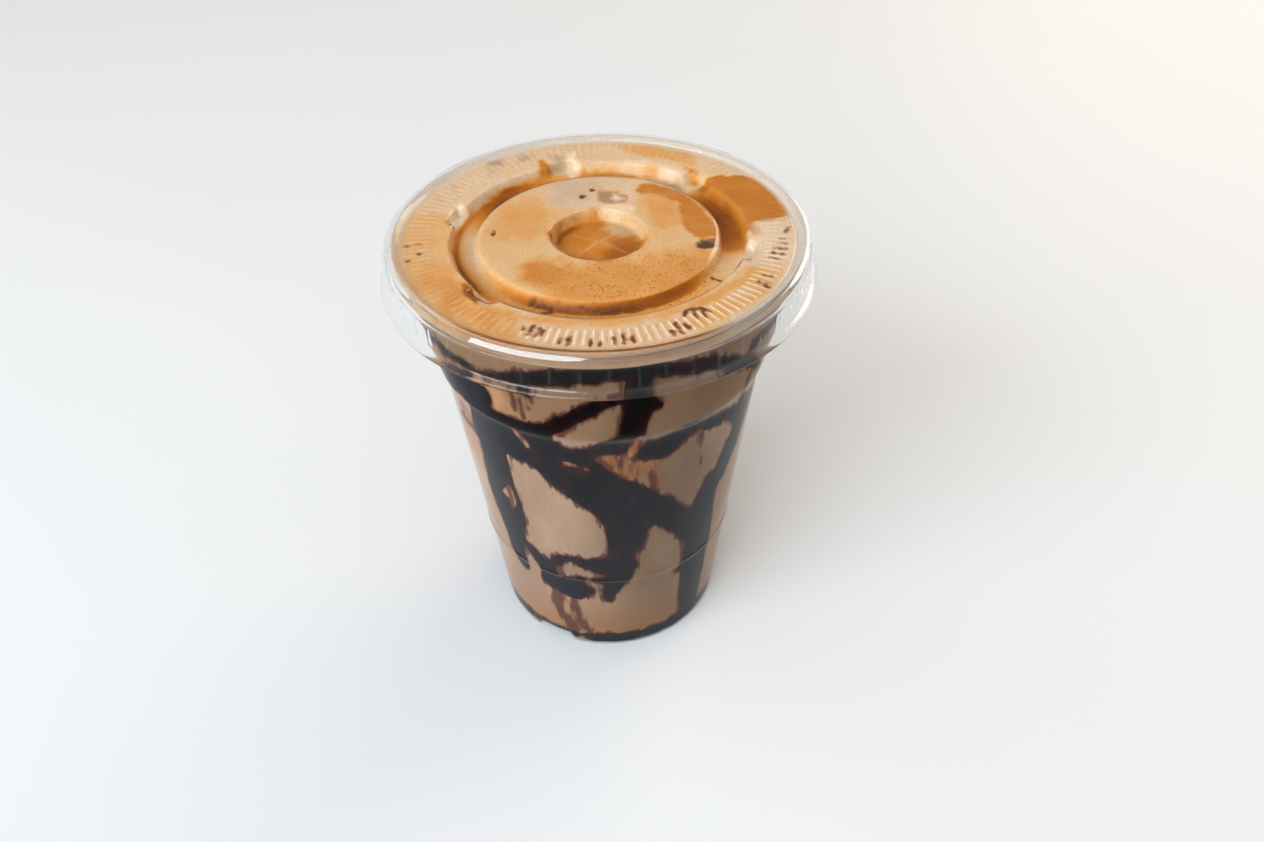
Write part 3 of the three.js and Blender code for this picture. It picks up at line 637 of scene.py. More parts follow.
BACK_RUNS = [
    [(50, 104, 1.4), (75, 106, 1.6), (100, 108, 1.8), (130, 107, 1.6), (160, 109, 1.8), (190, 108, 1.4),
     (220, 106, 1.6), (250, 105, 1.6), (285, 104, 1.6), (320, 103.5, 1)],
    [(100, 108, 2.6), (102, 96, 2.6), (96, 84, 3.2), (98, 72, 4), (104, 60, 4.5), (103, 46, 3.4),
     (101, 32, 2.4), (102, 24, 1.2)],
    [(60, 74, 3), (72, 80, 3), (85, 82, 3.4), (97, 78, 4)],
    [(103, 58, 5), (118, 52, 4), (132, 44, 4), (140, 34, 3), (141, 20, 2.4), (143, 6, 2)],
    [(160, 108, 2.4), (158, 94, 3), (164, 82, 3.4), (172, 72, 4), (184, 66, 5), (196, 60, 4.5),
     (203, 48, 3.6), (204, 34, 2.8), (202, 24, 1.2)],
    [(196, 62, 4), (208, 70, 3.2), (222, 76, 3), (236, 80, 3), (252, 82, 2.6), (268, 84.5, 2.4),
     (282, 85, 2.6)],
    [(240, 104, 2.2), (238, 92, 2.4), (236, 80, 3), (240, 66, 3), (248, 52, 3.6), (246, 38, 2.6),
     (247, 30, 1.2)],
    [(182, 64, 4), (176, 50, 3), (170, 38, 2.4), (168, 26, 1.6)],
]
# Gaps where the coffee shows through the runs
GAPS = [
    [(11.8, 87, 1.1), (9.6, 83.6, 1.4), (7.4, 80.8, 1.6), (5.5, 78.5, 1.8)],
    [(-32.6, 86, 0.6), (-31.4, 84.4, 1.0), (-29.4, 82.6, 0.7), (-27.8, 80.8, 0.3)],
    [(-45.5, 58.6, 0.7), (-42.6, 58.4, 1.9), (-41, 55.6, 1.4), (-42.4, 53, 0.5)],
    [(-15.5, 77.6, 0.3), (-11.5, 77.3, 0.7), (-7, 76.2, 0.6)],
    [(-12, 75, 0.3), (-8, 74.4, 0.4)],
]
# Thin syrup that only stains the coffee
STAINS = [
    [(-27, 21, 1.4), (-27.5, 15, 1.2), (-24, 9.5, 1.4), (-20, 5.5, 1.6)],
    [(-18, 20, 0.9), (-17.5, 14, 0.9), (-15.5, 9, 0.9), (-12, 5.5, 1.2)],
    [(35.2, 82.5, 0.5), (35.8, 76, 0.35), (37, 69.5, 0.2)],
    [(-64, 76.5, 0.9), (-57, 76, 1.2), (-50, 74.5, 1.6)],
    [(-56, 107, 0.8), (-55.5, 100, 1.2)],
    [(-25, 103, 0.4), (-25.6, 95, 0.2), (-26, 92.5, 0.2)],
    [(-27.4, 103, 0.5), (-27.8, 97, 0.25), (-28, 94, 0.2)],
    [(-23.4, 102, 0.6), (-23.6, 98.5, 0.2), (-23.8, 96, 0.2)],
    [(-21.6, 101, 0.5), (-21.6, 98.6, 0.2)],
    [(-16, 76.5, 0.8), (-10, 75.6, 0.8)],
    [(-42, 60, 0.7), (-41, 54, 0.7)],
    [(-3, 80, 0.4), (1, 75.5, 0.5), (3, 72, 0.4)],
    [(13.5, 81, 0.7), (13, 78.5, 0.8)],
    [(7, 83, 0.4), (4.5, 78, 0.4), (4, 73, 0.3)],
    [(15.5, 73, 0.5), (16.5, 69, 0.4), (17, 66, 0.3)],
    [(54, 92, 0.8), (56, 84, 0.8), (55, 74, 0.9), (54, 66, 0.7)],
    [(112, 60, 1.2), (114, 48, 0.8)],
    [(150, 100, 0.6), (151, 88, 0.5)],
    [(212, 60, 0.9), (214, 50, 0.6)],
    [(262, 80, 0.8), (263, 70, 0.5)],
]
# Patches where the coffee shines through thin syrup: angle, height, half width, half height, strength
AMBER = [
    (2, 76, 6.4, 5.4, 1), (13, 76.5, 4.6, 3.8, 0.85), (-4, 79.5, 3, 2.6, 0.9), (9, 84.5, 1.8, 4.4, 1),
    (-12.5, 76.5, 3.6, 1.2, 0.8), (-28, 76, 2, 0.9, 0.5), (-59, 80, 4, 3.4, 0.5), (110, 70, 4, 4, 0.6),
    (206, 82, 4, 3.4, 0.6), (-43, 43, 1.2, 2.4, 0.5), (18, 71, 2, 3, 0.5),
]
PEACH = [
    (-36, 97, 3.6, 6.4, 1), (-30, 93.5, 4.5, 3.4, 0.5), (-31.5, 84.4, 2.1, 2.3, 1),
    (-28.5, 82, 1.2, 1.8, 0.7), (-42.4, 57.5, 2.8, 5, 1), (8, 79.8, 1.7, 2.6, 0.8),
    (-10.5, 77.4, 2.6, 0.8, 0.7), (-62, 70, 7, 9, 0.5), (-23, 40, 2, 1, 0.4), (103, 96, 2, 5, 0.8),
]


def shape_cup(s):
    """The cup: a thin sheet with a hollow vented foot, a ledge, and a rolled rim"""
    foot_inner = s["foot"] - s["foot_width"]
    slope = (s["ledge_low_radius"] - s["base_radius"]) / (s["ledge_low"] - s["base"])

    def wall(height):
        return s["base_radius"] + (height - s["base"]) * slope

    outside = [
        (0, s["base"], 0),
        (foot_inner - 0.8, s["base"], 0.5),
        (foot_inner, 0, 0.35),
        (s["foot"], 0, 0.35),
        (wall(0.7), 0.7, 0.8),
        (wall(s["band"] - 1.1), s["band"] - 1.1, 0.6),
        (wall(s["band"]) + 0.28, s["band"], 0.6),
        (wall(s["band"] + 1.1), s["band"] + 1.1, 0.6),
        (s["ledge_low_radius"], s["ledge_low"], 1.5),
        (s["ledge_high_radius"], s["ledge_high"], 1.5),
        (s["throat_radius"], s["throat"], 0.6),
    ]
    roll = arc(s["throat_radius"] + s["roll_out"], s["throat"] + s["roll_out"], s["roll"], -135, 165, 12)
    inside = rounded(wall_inside(s, 0))
    out_line = stepped(rounded(outside + [(*roll[0], 0)]), 2.4) + [np.array(p) for p in roll[1:]]
    piece = turned("cup_shell", out_line + stepped(inside, 2.4)[::-1], CUP_COLUMNS)
    lift_vents(piece, s["vent"])
    # the misted lower wall is duller; the ledge catches the room's light, most on the right
    _, angle, height = around(places(piece))
    shine = 0.35 - 0.33 * ramp(height, s["ledge_low"], s["ledge_high"] + 1)
    ledge = np.exp(-(((height - s["ledge_low"] - 1.2) / 1.6) ** 2))
    paint(piece, shine=shine + 0.5 * ledge * ramp(angle, -20, 25) * (1 - ramp(angle, 70, 110)))
    return piece


def shape_lid(s):
    """The lid: one thin sheet with a dimple, plateau, groove, pockets, fine ribs, bead and skirt"""
    piece = turned("lid_shell", lid_line(s), LID_COLUMNS)
    groove, panel = s["groove_height"], s["panel_height"]
    bed = [(33.2, groove), (34.1, groove + 0.5), (36.8, groove + 0.5), (37.4, panel - 0.2), (38.3, panel)]
    press_pockets(piece, bed)
    points = places(piece)
    radius, angle, height = around(points)
    pick(piece, on_ribs(points, panel))
    bpy.ops.transform.translate(value=(0, 0, s["rib"] * MM))
    bpy.ops.object.mode_set(mode="OBJECT")
    on_skirt = np.isin(column_of(angle), skirt_columns())
    pick(piece, on_skirt & (radius > s["skirt"] - 0.2) & (height > 110) & (height < 114.1))
    swell = 1 + s["rib"] / s["skirt"]
    bpy.ops.transform.resize(value=(swell, swell, 1), center_override=(0, 0, 0))
    bpy.ops.object.mode_set(mode="OBJECT")
    score_cross(piece)
    points = places(piece)
    radius, angle, height = around(points)
    on_bead = ramp(radius, 46, 46.8) * ramp(height, 114.2, 115.2)
    on_edge = ramp(radius, 26.6, 27.3) * (1 - ramp(radius, 28.1, 28.7))
    in_groove = ramp(radius, 28.3, 28.7) * (1 - ramp(radius, 34.6, 35.2))
    in_groove *= 1 - ramp(np.abs(angle), 125, 150)
    shine = np.maximum(np.maximum(on_bead, on_edge * 0.8), 0.4 - 0.36 * in_groove)
    shine *= 1 - 0.5 * on_bead * np.maximum(ramp(-angle, 62, 88), ramp(angle, 46, 72))
    # where a window shows as a streak on the bead's inner slope
    streak = ramp(-angle, 94, 100) * (1 - ramp(-angle, 113, 120)) * (radius < 48.3)
    shine = np.maximum(shine, on_bead * streak)
    # the foam keeps the back of the groove from shining evenly
    patchy = ramp(radius, 28.8, 30) * (1 - ramp(radius, 37, 38.5)) * ramp(np.abs(angle), 120, 140)
    shine *= 1 - patchy * (0.7 + 0.3 * ramp(wander(points, 5, 6), -0.9, 0.5))
    ribbed = ramp(radius, 38, 39) * (1 - ramp(radius, 45.4, 46)) * ramp(np.abs(angle), 95, 125)
    shine *= 1 - 0.7 * ribbed
    shine *= 1 - 0.6 * (radius < 12)
    shine = np.where((radius > 46) & (height < 114.2), 0.12 + 0.16 * ramp(angle, 25, 45), shine)
    ribs = on_skirt & (radius > s["skirt"] - 0.2) & (height < 114) & (np.abs(angle) < 70)
    shine = np.where(ribs, 0.5, shine)
    on_flange = (radius > s["skirt"] + 0.3) & (np.abs(angle) < 75)
    shine = np.where(on_flange, 0.4 + 0.5 * ramp(angle, 0, 25), shine)
    paint(piece, shine=shine)
    thicken(piece, s["wall"])
    return piece


def on_ribs(points, panel):
    """Which points of a lid or foam grid lie on the fine ribs"""
    radius, angle, height = around(points)
    first = column_of(angle) % (LID_COLUMNS // LID_RIBS) == 0
    return first & (radius > 39.7) & (radius < 45.3) & (height > panel - 0.5)


def skirt_columns():
    """The columns nearest to the fine ribs on the skirt"""
    return column_of(SKIRT_RIB_FIRST + 360 / SKIRT_RIBS * np.arange(SKIRT_RIBS))


def score_lines(x, y):
    """How far points lie from each line of the straw cross, and from its middle along it"""
    for turn in SCORES:
        way = math.radians(turn)
        yield np.abs(x * math.sin(way) - y * math.cos(way)), np.abs(x * math.cos(way) + y * math.sin(way))


def hole_reach(x, y, hole):
    """How far points lie from the middle of an open bubble, 1 at its rim"""
    cx, cy, long, short, turn, _ = hole
    way = math.radians(turn)
    u = (x - cx) * math.cos(way) + (y - cy) * math.sin(way)
    v = (y - cy) * math.cos(way) - (x - cx) * math.sin(way)
    return np.hypot(u / long, v / short)


def score_cross(piece):
    """Presses the straw cross into the dimple as two fine grooves"""
    points = places(piece)
    depth = np.zeros(len(points))
    for aside, along in score_lines(*points.T[:2]):
        groove = np.clip(1 - (aside / 0.24) ** 2, 0, 1) * (along < 7.5)
        depth = np.maximum(depth, groove * 0.22)
    points[:, 2] -= depth
    place(piece, points)


def thicken(piece, thickness):
    """Gives a sheet its thickness, inwards"""
    bpy.context.view_layer.objects.active = piece
    solid = piece.modifiers.new("sheet", "SOLIDIFY")
    solid.thickness = thickness * MM
    solid.offset = -1
    solid.use_even_offset = False
    bpy.ops.object.modifier_apply(modifier=solid.name)


def shape_foam(lid, cup, drink):
    """The foam pressed against the lid, with bubbles opened in its top"""
    bite = 0.1
    low = drink["foam_bottom"]
    wall = rounded(wall_inside(cup, drink["sink"]))
    side = [p for p in wall if p[1] > low]
    start = up_to(wall, low)[-1]
    top = [p for p in lid_line(lid) if p[0] < lid["panel"] - 0.1]
    top = beside(top, lid["wall"] - bite)
    # a thin lip of foam is squeezed out over the rolled rim, under the bead
    out = cup["roll_out"]
    roll = arc(cup["throat_radius"] + out, cup["throat"] + out, cup["roll"] - bite, 165, 88, 4)
    under = arc(lid["bead_centre"], lid["bead_height"], lid["bead"] - lid["wall"] + bite, 94, 150, 8)
    edge = [tuple(start), *map(tuple, side[:1]), (46.5, 114.5), *roll, *under, tuple(top[-1])]
    outside = stepped([(0, low), tuple(start)], 3)[:-1] + stepped(edge, 0.8)
    line = [np.array(p) for p in outside] + [np.array(p) for p in stepped(top, 0.62)[::-1][1:]]
    piece = turned("foam_cap", line, LID_COLUMNS)
    groove, panel = lid["groove_height"] - 0.35, lid["panel_height"] - 0.35
    bed = [(32.9, groove), (34.0, groove + 0.5), (37.0, groove + 0.5), (37.75, panel - 0.2), (38.4, panel)]
    press_pockets(piece, bed)
    points = places(piece)
    x, y, height = points.T
    on_top = height > low + 1.5
    points[on_ribs(points, panel), 2] += lid["rib"]
    hollow = np.zeros(len(x))
    for hole in HOLES:
        bowl = np.clip(1 - hole_reach(x, y, hole) ** 2, 0, 1) ** 0.5
        hollow = np.maximum(hollow, hole[5] * bowl)
    points[:, 2] -= np.where(on_top, hollow, 0)
    place(piece, points)
    paint_foam(piece, points, on_top)
    return piece


def paint_foam(piece, points, on_top):
    """Keeps how wet, grey, white, dark and ribbed the foam looks, with painted shade in the groove, the
    dimple and the plateau's front wall, and painted highlights on the ribs and in places
    """
    x, y, height = points.T
    radius, angle, _ = around(points)
    warp = wander(points, 6, 3) * 0.6 + wander(points, 2.2, 4) * 0.22
    tone = np.full(len(x), 0.14)
    tone += 0.36 * (1 - ramp(radius + warp * 0.3, 28.4, 29.6))

    def spread(level, outline, soft, value):
        share = ramp(-(blob_distance(x, y, outline) + warp * max(0.5, soft * 0.45)), -soft, soft)
        return level + (value - level) * share

    # painted shade: the groove takes its own tones, wet coffee darkened further where shade falls in it
    ring = ramp(radius + warp * 0.2, 28.3, 29.3) * (1 - ramp(radius + warp * 0.3, 34, 35.2))
    turns, inner, outer = np.array(GROOVE_WET_AND_SHADE).T
    across = ramp(radius, 29.8, 33.6)
    groove = np.interp(angle, turns, inner) * (1 - across) + np.interp(angle, turns, outer) * across
    for outline, soft, value in FOAM_TONES:
        tone = spread(tone, outline, soft, value)
    tone += (groove - tone) * ring
    # painted shade: the plateau's front wall darkens from its edge down to its foot
    turns, top, foot = np.array(WALL_SHADE_TONES).T
    down = ramp(116.7 - height, 0.2, 2.3)
    wall = np.interp(angle, turns, top) * (1 - down) + np.interp(angle, turns, foot) * down
    on_wall = ramp(radius, 28.15, 28.6) * (1 - ramp(radius + warp * 0.2, 29.9, 30.5))
    tone += (wall - tone) * on_wall * ramp(-np.abs(angle), -70, -60)
    # painted shade along the foot of the groove's outer wall on the left
    crease_shade = np.exp(-(((radius - 34.1) / 0.9) ** 2)) * ramp(-angle, 45, 60) * (1 - ramp(-angle, 100, 120))
    tone += crease_shade * 1.2
    grey, white = (np.max([spread(0, *entry) for entry in table], 0) for table in (GREY_FOAM, WHITE_FOAM_AND_HIGHLIGHTS))
    # painted highlight: the straw cross's score lines drawn as light lines in the foam under them
    for aside, _ in score_lines(x, y):
        white = np.maximum(white, 0.11 * (1 - ramp(aside, 0.1, 0.55)) * (radius < 7.5))
    speck = np.full(len(x), 5.0)
    for middle, near, far in RIB_SPECKS:
        turn = np.radians(turn_from(angle, middle)) * radius
        over = np.maximum(np.maximum(near - radius, radius - far), 0)
        size = (0.26 + 0.24 * (middle * 7.3 % 1)) * (1 if middle < 50 else 0.55)
        speck = np.minimum(speck, np.hypot(turn, over) - size)
    for hole in HOLES:
        speck = np.minimum(speck, (hole_reach(x, y, hole) - 1) * hole[3])
    for *line, half in THREADS:
        for a, b in zip(line, line[1:]):
            speck = np.minimum(speck, blob_distance(x, y, [a, b]) - half)
    # painted highlight and shade: a light line along each rib, brown between, as strong as the ribs catch
    # the light
    column = column_of(angle) % (LID_COLUMNS // LID_RIBS)
    seen = np.interp(angle, *np.array(RIB_HIGHLIGHTS_SEEN).T) * ramp(radius, 39, 40) * (1 - ramp(radius, 44.6, 45.4))
    stripe = np.choose(column, [1.0, 0.1, -0.55, 0.1]) * seen
    lip = ramp(radius, 46, 46.8) * (1 - 0.7 * ramp(angle, -110, -80) * (1 - ramp(angle, -32, -14)))
    # in front it stands thicker and browner
    fore = ramp(-np.abs(angle + 4), -46, -26)
    tone = np.where(radius > 46.2, np.maximum(tone, 1.0 * fore), tone)
    crest = ramp(radius, 47.7, 48.1) * (1 - ramp(radius, 48.8, 49.1)) * (height > 117.6) * fore
    tone = tone + crest * (2.3 - tone)
    on_side = (radius > 45.5) * (height < 115) * fore
    tone = tone + on_side * (1.6 - tone)
    lip = lip * (1 - 0.6 * fore) * (1 - crest) * (1 - on_side)
    # painted reflection: grey on the lip's outer side in front stands for the bead's silvery sheen
    grey = np.maximum(grey, 0.6 * on_side)
    porous = 1 - ramp(blob_distance(x, y, FINE_FROTH), -3, 5)
    in_front = ramp(radius, 27.5, 28.6) * (1 - ramp(radius, 31.5, 33)) * (np.abs(angle - 8) < 42)
    porous = np.maximum(porous, 1.2 * in_front)
    tone = np.where(on_top, tone, 0.3 + fore)
    speck += wander(points, 1.6, 5) * 0.16
    paint(piece, tone=tone, grey=grey, white=white, speck_mm=speck, stripe=stripe, lip=lip, porous=porous)


def syrup_edge(points, drink):
    """Distance to the edge of the syrup for each point on the wall"""
    radius, angle, height = around(points)
    wobble = wander(points * (1, 1, 0.45), 5, 11) * 0.6 + wander(points * (1, 1, 0.3), 2.2, 12) * 0.4
    found = run_distance(angle, height, radius, FRONT_RUNS + BACK_RUNS, 1.4)
    gap = run_distance(angle, height, radius, GAPS, 0.6)
    return np.maximum(found, -gap) + wobble * drink["edge"]


def shape_coffee(cup, drink):
    """The coffee, out to the wall and down into the hollow foot"""
    brim = drink["foam_bottom"] + 0.1
    line = stepped(up_to(rounded(wall_inside(cup, drink["sink"])), brim), 0.8)
    line += [(r, brim) for r in np.linspace(44, 0, 8)]
    piece = turned("coffee_body", line, WALL_COLUMNS)
    lift_vents(piece, cup["vent"])
    points = places(piece)
    radius, angle, height = around(points)
    edge = syrup_edge(points, drink)
    wobble = wander(points * (1, 1, 0.4), 3, 21) * 0.35
    stain = run_distance(angle, height, radius, STAINS, 0.6) + wobble

    def patches(table):
        degree = 0.66  # millimetres on the wall
        level = np.zeros(len(angle))
        for middle, up, wide, tall, strength in table:
            turn = turn_from(angle, middle) * degree
            reach = np.hypot(turn / wide, (height - up) / tall) + wobble * 0.5
            level = np.maximum(level, strength * ramp(-reach, -1.25, -0.6))
        return level

    # painted shade: the coffee is darkened on the front and right, less towards the foot, and in a patch at
    # the front-left 35 mm up
    dusk = ramp(angle, -28, 16) * (1 - 0.7 * ramp(angle, 28, 52)) * (1 - ramp(angle, 62, 90))
    dusk *= 0.45 + 0.55 * ramp(height, 4, 38)
    dusk = np.maximum(dusk, 0.7 * ramp(-np.hypot((angle + 18) * 0.6, height - 35), -9, -5))
    paint(piece, syrup_mm=np.clip(edge, -8, 8), stain_mm=np.clip(stain, -4, 8), amber=patches(AMBER),
          peach=patches(PEACH), dusk=dusk)
    return piece


def shape_syrup(cup, drink):
    """Syrup on the wall: the wall's own grid, snapped to the runs' edge and cut away outside it"""
    line = up_to(rounded(wall_inside(cup, drink["sink"] + 0.1)), drink["foam_bottom"])
    line = [p for p in stepped(line, 0.62) if p[0] > cup["foot"] - cup["foot_width"] + 0.4]
    piece = turned("syrup_runs", line, WALL_COLUMNS)
    lift_vents(piece, cup["vent"])
    points = places(piece)
    edge = syrup_edge(points, drink)
    # where the syrup's edge crosses a grid edge, the nearer of its ends is moved there
    mesh = piece.data
    ends = np.zeros(len(mesh.edges) * 2, np.int32)
    mesh.edges.foreach_get("vertices", ends)
    a, b = ends.reshape(-1, 2).T
    cross = edge[a] * edge[b] < 0
    a, b = a[cross], b[cross]
    share = edge[a] / (edge[a] - edge[b])
    meet = points[a] + (points[b] - points[a]) * share[:, None]
    moved = points.copy()
    best = np.full(len(points), 0.5)
    for index, size in ((a, share), (b, 1 - share)):
        order = np.argsort(-size)
        for i, t, spot in zip(index[order], size[order], meet[order]):
            if t <= best[i]:
                best[i] = t
                moved[i] = spot
    kept = (edge < 0) | (best < 0.5)
    place(piece, moved)
    # the lower wall is misted by the cold, so syrup looks charcoal behind it; more to the sides and up the
    # left side the greying is painted reflection of the room in the wall
    _, angle, height = around(points)
    aside = ramp(np.abs(angle), 18, 46)
    mist = 1 - ramp(height - 2.5 * ramp(-angle, 5, 20), 85.5, 89)
    mist *= np.interp(height, [20, 75], [1, 0.4]) * (1 + 0.7 * aside)
    mist = np.maximum(mist, 2.2 * ramp(-angle, 34, 48) * (1 - ramp(height, 96, 104)))
    paint(piece, syrup_mm=np.clip(edge, -8, 8), mist=mist)
    # faces that lie outside the syrup, or all along its edge, are taken out
    loops = np.zeros(len(mesh.loops), np.int32)
    mesh.loops.foreach_get("vertex_index", loops)
    starts = np.zeros(len(mesh.polygons), np.int32)
    mesh.polygons.foreach_get("loop_start", starts)
    whole = np.minimum.reduceat(kept[loops].astype(int), starts)
    inner = np.minimum.reduceat(np.where(best < 0.5, 0.0, edge)[loops], starts)
    pick(piece, np.zeros(len(points), bool))
    bpy.ops.object.mode_set(mode="OBJECT")
    drop = (whole == 0) | (inner >= 0)
    mesh.polygons.foreach_set("select", drop)
    bpy.ops.object.mode_set(mode="EDIT")
    bpy.ops.mesh.select_mode(type="FACE")
    bpy.ops.object.mode_set(mode="OBJECT")
    mesh.polygons.foreach_set("select", drop)
    bpy.ops.object.mode_set(mode="EDIT")
    bpy.ops.mesh.delete(type="FACE")
    bpy.ops.mesh.select_all(action="SELECT")
    bpy.ops.mesh.delete_loose()
    bpy.ops.object.mode_set(mode="OBJECT")
    thicken(piece, drink["syrup"])
    return piece


# ---------------------------------------------------------------- materials


SMOOTH = {"interpolation_type": "SMOOTHSTEP"}
COLOUR = {"data_type": "RGBA"}


def node(tree, kind, inputs=(), output=None, **settings):
    """Adds a node with its settings; inputs are values or sockets to link, by name or in order"""
    made = tree.nodes.new("ShaderNode" + kind)
    for name, value in settings.items():
        setattr(made, name, value)
    live = [socket for socket in made.inputs if socket.enabled]
    if isinstance(inputs, dict):
        pairs = [(next(s for s in live if s.name == name), value) for name, value in inputs.items()]
    else:
        pairs = zip(live, inputs)
    for socket, value in pairs:
        if isinstance(value, bpy.types.NodeSocket):
            tree.links.new(value, socket)
        elif socket.type == "RGBA":
            socket.default_value = (*value, 1)
        else:
            socket.default_value = value
    return made.outputs[output] if output else next((s for s in made.outputs if s.enabled), None)


def new_material(name):
    """A material without nodes, and the function that adds one to it"""
    material = bpy.data.materials.new(name)
    material.use_nodes = True
    material.node_tree.nodes.clear()
    return material, functools.partial(node, material.node_tree)


def grains(add, where, *sizes):
    """Noise fields, by the size of their bumps in mm, detail, and how far they are drawn out upwards"""
    for size, detail, tall in sizes:
        drawn = add("Mapping", {"Vector": where, "Scale": (1, 1, 1 / tall)})
        yield add("TexNoise", {"Vector": drawn, "Scale": 1 / (size * MM), "Detail": detail})


def clear_pet(name, plastic, roughness, wave_mm, wave_height, bend):
    """Thermoformed PET: water-clear and glossy, with slow waves where the sheet was drawn, which bend
    its highlights, and a faint smear here and there"""
    material, add = new_material(name)
    where = add("TexCoord", output="Object")
    waves = add("TexNoise", {"Vector": where, "Scale": 1 / (wave_mm * MM), "Detail": 1.5})
    bump = add("Bump", {"Height": waves, "Distance": wave_height * MM, "Strength": 1})
    smear = add("TexNoise", {"Vector": where, "Scale": 1 / (14 * MM), "Detail": 4})
    rough = add("MapRange", [smear, 0.4, 0.7, roughness, roughness * 2])
    shine = add("Attribute", output="Fac", attribute_name="shine")
    # so thin a sheet hardly bends the light that crosses it; its shine is laid on as a coat
    surface = {
        "Base Color": plastic, "Roughness": rough, "IOR": bend, "Transmission Weight": 1, "Normal": bump,
        "Coat Weight": shine, "Coat Roughness": 0.04, "Coat IOR": 1.5, "Coat Normal": bump,
    }
    add("OutputMaterial", [add("BsdfPrincipled", surface)])
    return material


def milk_coffee(c):
    """Milky coffee behind the wall: matt and a little streaked, browner over the ledge and by the foot,
    stained where syrup has run thin; a misted wall greys it between them. Painted shade darkens it over the
    ledge, under the lid, and on the cup's shaded quarter"""
    material, add = new_material("milk_coffee")
    where = add("TexCoord", output="Object")
    up = add("SeparateXYZ", [where], "Z")
    edge, stain, dusk, peach, amber = [
        add("Attribute", output="Fac", attribute_name=name)
        for name in ("syrup_mm", "stain_mm", "dusk", "peach", "amber")
    ]
    cloud, fibre, fine = grains(add, where, (15, 3, 2), (1.1, 3, 6), (0.8, 2, 10))
    body = add("Mix", [add("MapRange", [cloud, 0.35, 0.65], **SMOOTH), c.coffee, c.coffee_deep], **COLOUR)
    # the clear upper wall shows it browner, and painted shade darkens it there under the lid; less so on the
    # side already painted in shade
    above = add("Math", [cloud, 4 * MM, up], operation="MULTIPLY_ADD")
    above = add("MapRange", [above, 87.5 * MM, 90.5 * MM], **SMOOTH)
    lit = add("Math", [dusk, -0.6, 1], operation="MULTIPLY_ADD")
    above = add("Math", [above, lit], operation="MULTIPLY")
    low = add("Math", [cloud, 16 * MM, up], operation="MULTIPLY_ADD")
    low = add("MapRange", [low, 14 * MM, 36 * MM, 0.85, 0], **SMOOTH)
    streak = add("MapRange", [fine, 0.3, 0.7, 0, 0.16], **SMOOTH)
    # dark fibres hang in the amber
    ribbons = add("MapRange", [fibre, 0.42, 0.62], **SMOOTH)
    ribbons = add("Math", [ribbons, amber], operation="MULTIPLY")
    ribbons = add("Math", [ribbons, 0.6], operation="MULTIPLY")
    # a maroon fringe up to 2 mm out from each run, and round the stains
    fringes = []
    for field, frayed, near, far in ((edge, -3.6, -1.55, -0.6), (stain, -2.4, -1.4, -0.3)):
        fringe = add("Math", [fibre, frayed, field], operation="MULTIPLY_ADD")
        fringes.append(add("MapRange", [fringe, near, far, 0.9, 0], **SMOOTH))
    fringe = add("Math", fringes, operation="MAXIMUM")
    # under the runs it is as dark as they are
    under = add("MapRange", [edge, -0.3, 0.1, 1, 0], **SMOOTH)
    for share, tint, kind in (
        (above, c.coffee_high_shaded, "MIX"),
        (low, c.coffee_low, "MIX"),
        # painted shade on the cup's shaded quarter
        (dusk, c.dusk, "MULTIPLY"),
        (streak, c.coffee_low, "MIX"),
        (peach, c.peach, "MIX"),
        (amber, c.amber, "MIX"),
        (ribbons, c.syrup_thin, "MIX"),
        (fringe, c.syrup_thin, "MIX"),
        (under, c.syrup, "MIX"),
    ):
        body = add("Mix", [share, body, tint], blend_type=kind, **COLOUR)
    surface = {"Base Color": body, "Roughness": 0.6, "Specular IOR Level": 0}
    add("OutputMaterial", [add("BsdfPrincipled", surface)])
    return material


def chocolate_syrup(c):
    """Chocolate syrup: nearly black and smooth, maroon along its edges and where it is thin"""
    material, add = new_material("chocolate_syrup")
    where = add("TexCoord", output="Object")
    edge, mist = [add("Attribute", output="Fac", attribute_name=name) for name in ("syrup_mm", "mist")]
    streak, fibre, cloud = grains(add, where, (3, 4, 4), (1.3, 3, 3), (12, 4, 2))
    streak = add("MapRange", [streak, 0.52, 0.75, 0, 0.5], **SMOOTH)
    body = add("Mix", [streak, c.syrup, c.syrup_edge], **COLOUR)
    edge = add("Math", [fibre, 3, edge], operation="MULTIPLY_ADD")
    edge = add("MapRange", [edge, 0.2, 1.3, 0, 0.8], **SMOOTH)
    body = add("Mix", [edge, body, c.syrup_edge], **COLOUR)
    # mist on the wall, with painted reflection of the room, lightens it, in clouds
    cloud = add("MapRange", [cloud, 0.3, 0.7, 0.75, 1.25], **SMOOTH)
    mist = add("Math", [mist, cloud], operation="MULTIPLY")
    body = add("Mix", [mist, body, c.mist], blend_type="ADD", **COLOUR)
    surface = {"Base Color": body, "Roughness": 0.5, "Specular IOR Level": 0}
    add("OutputMaterial", [add("BsdfPrincipled", surface)])
    return material


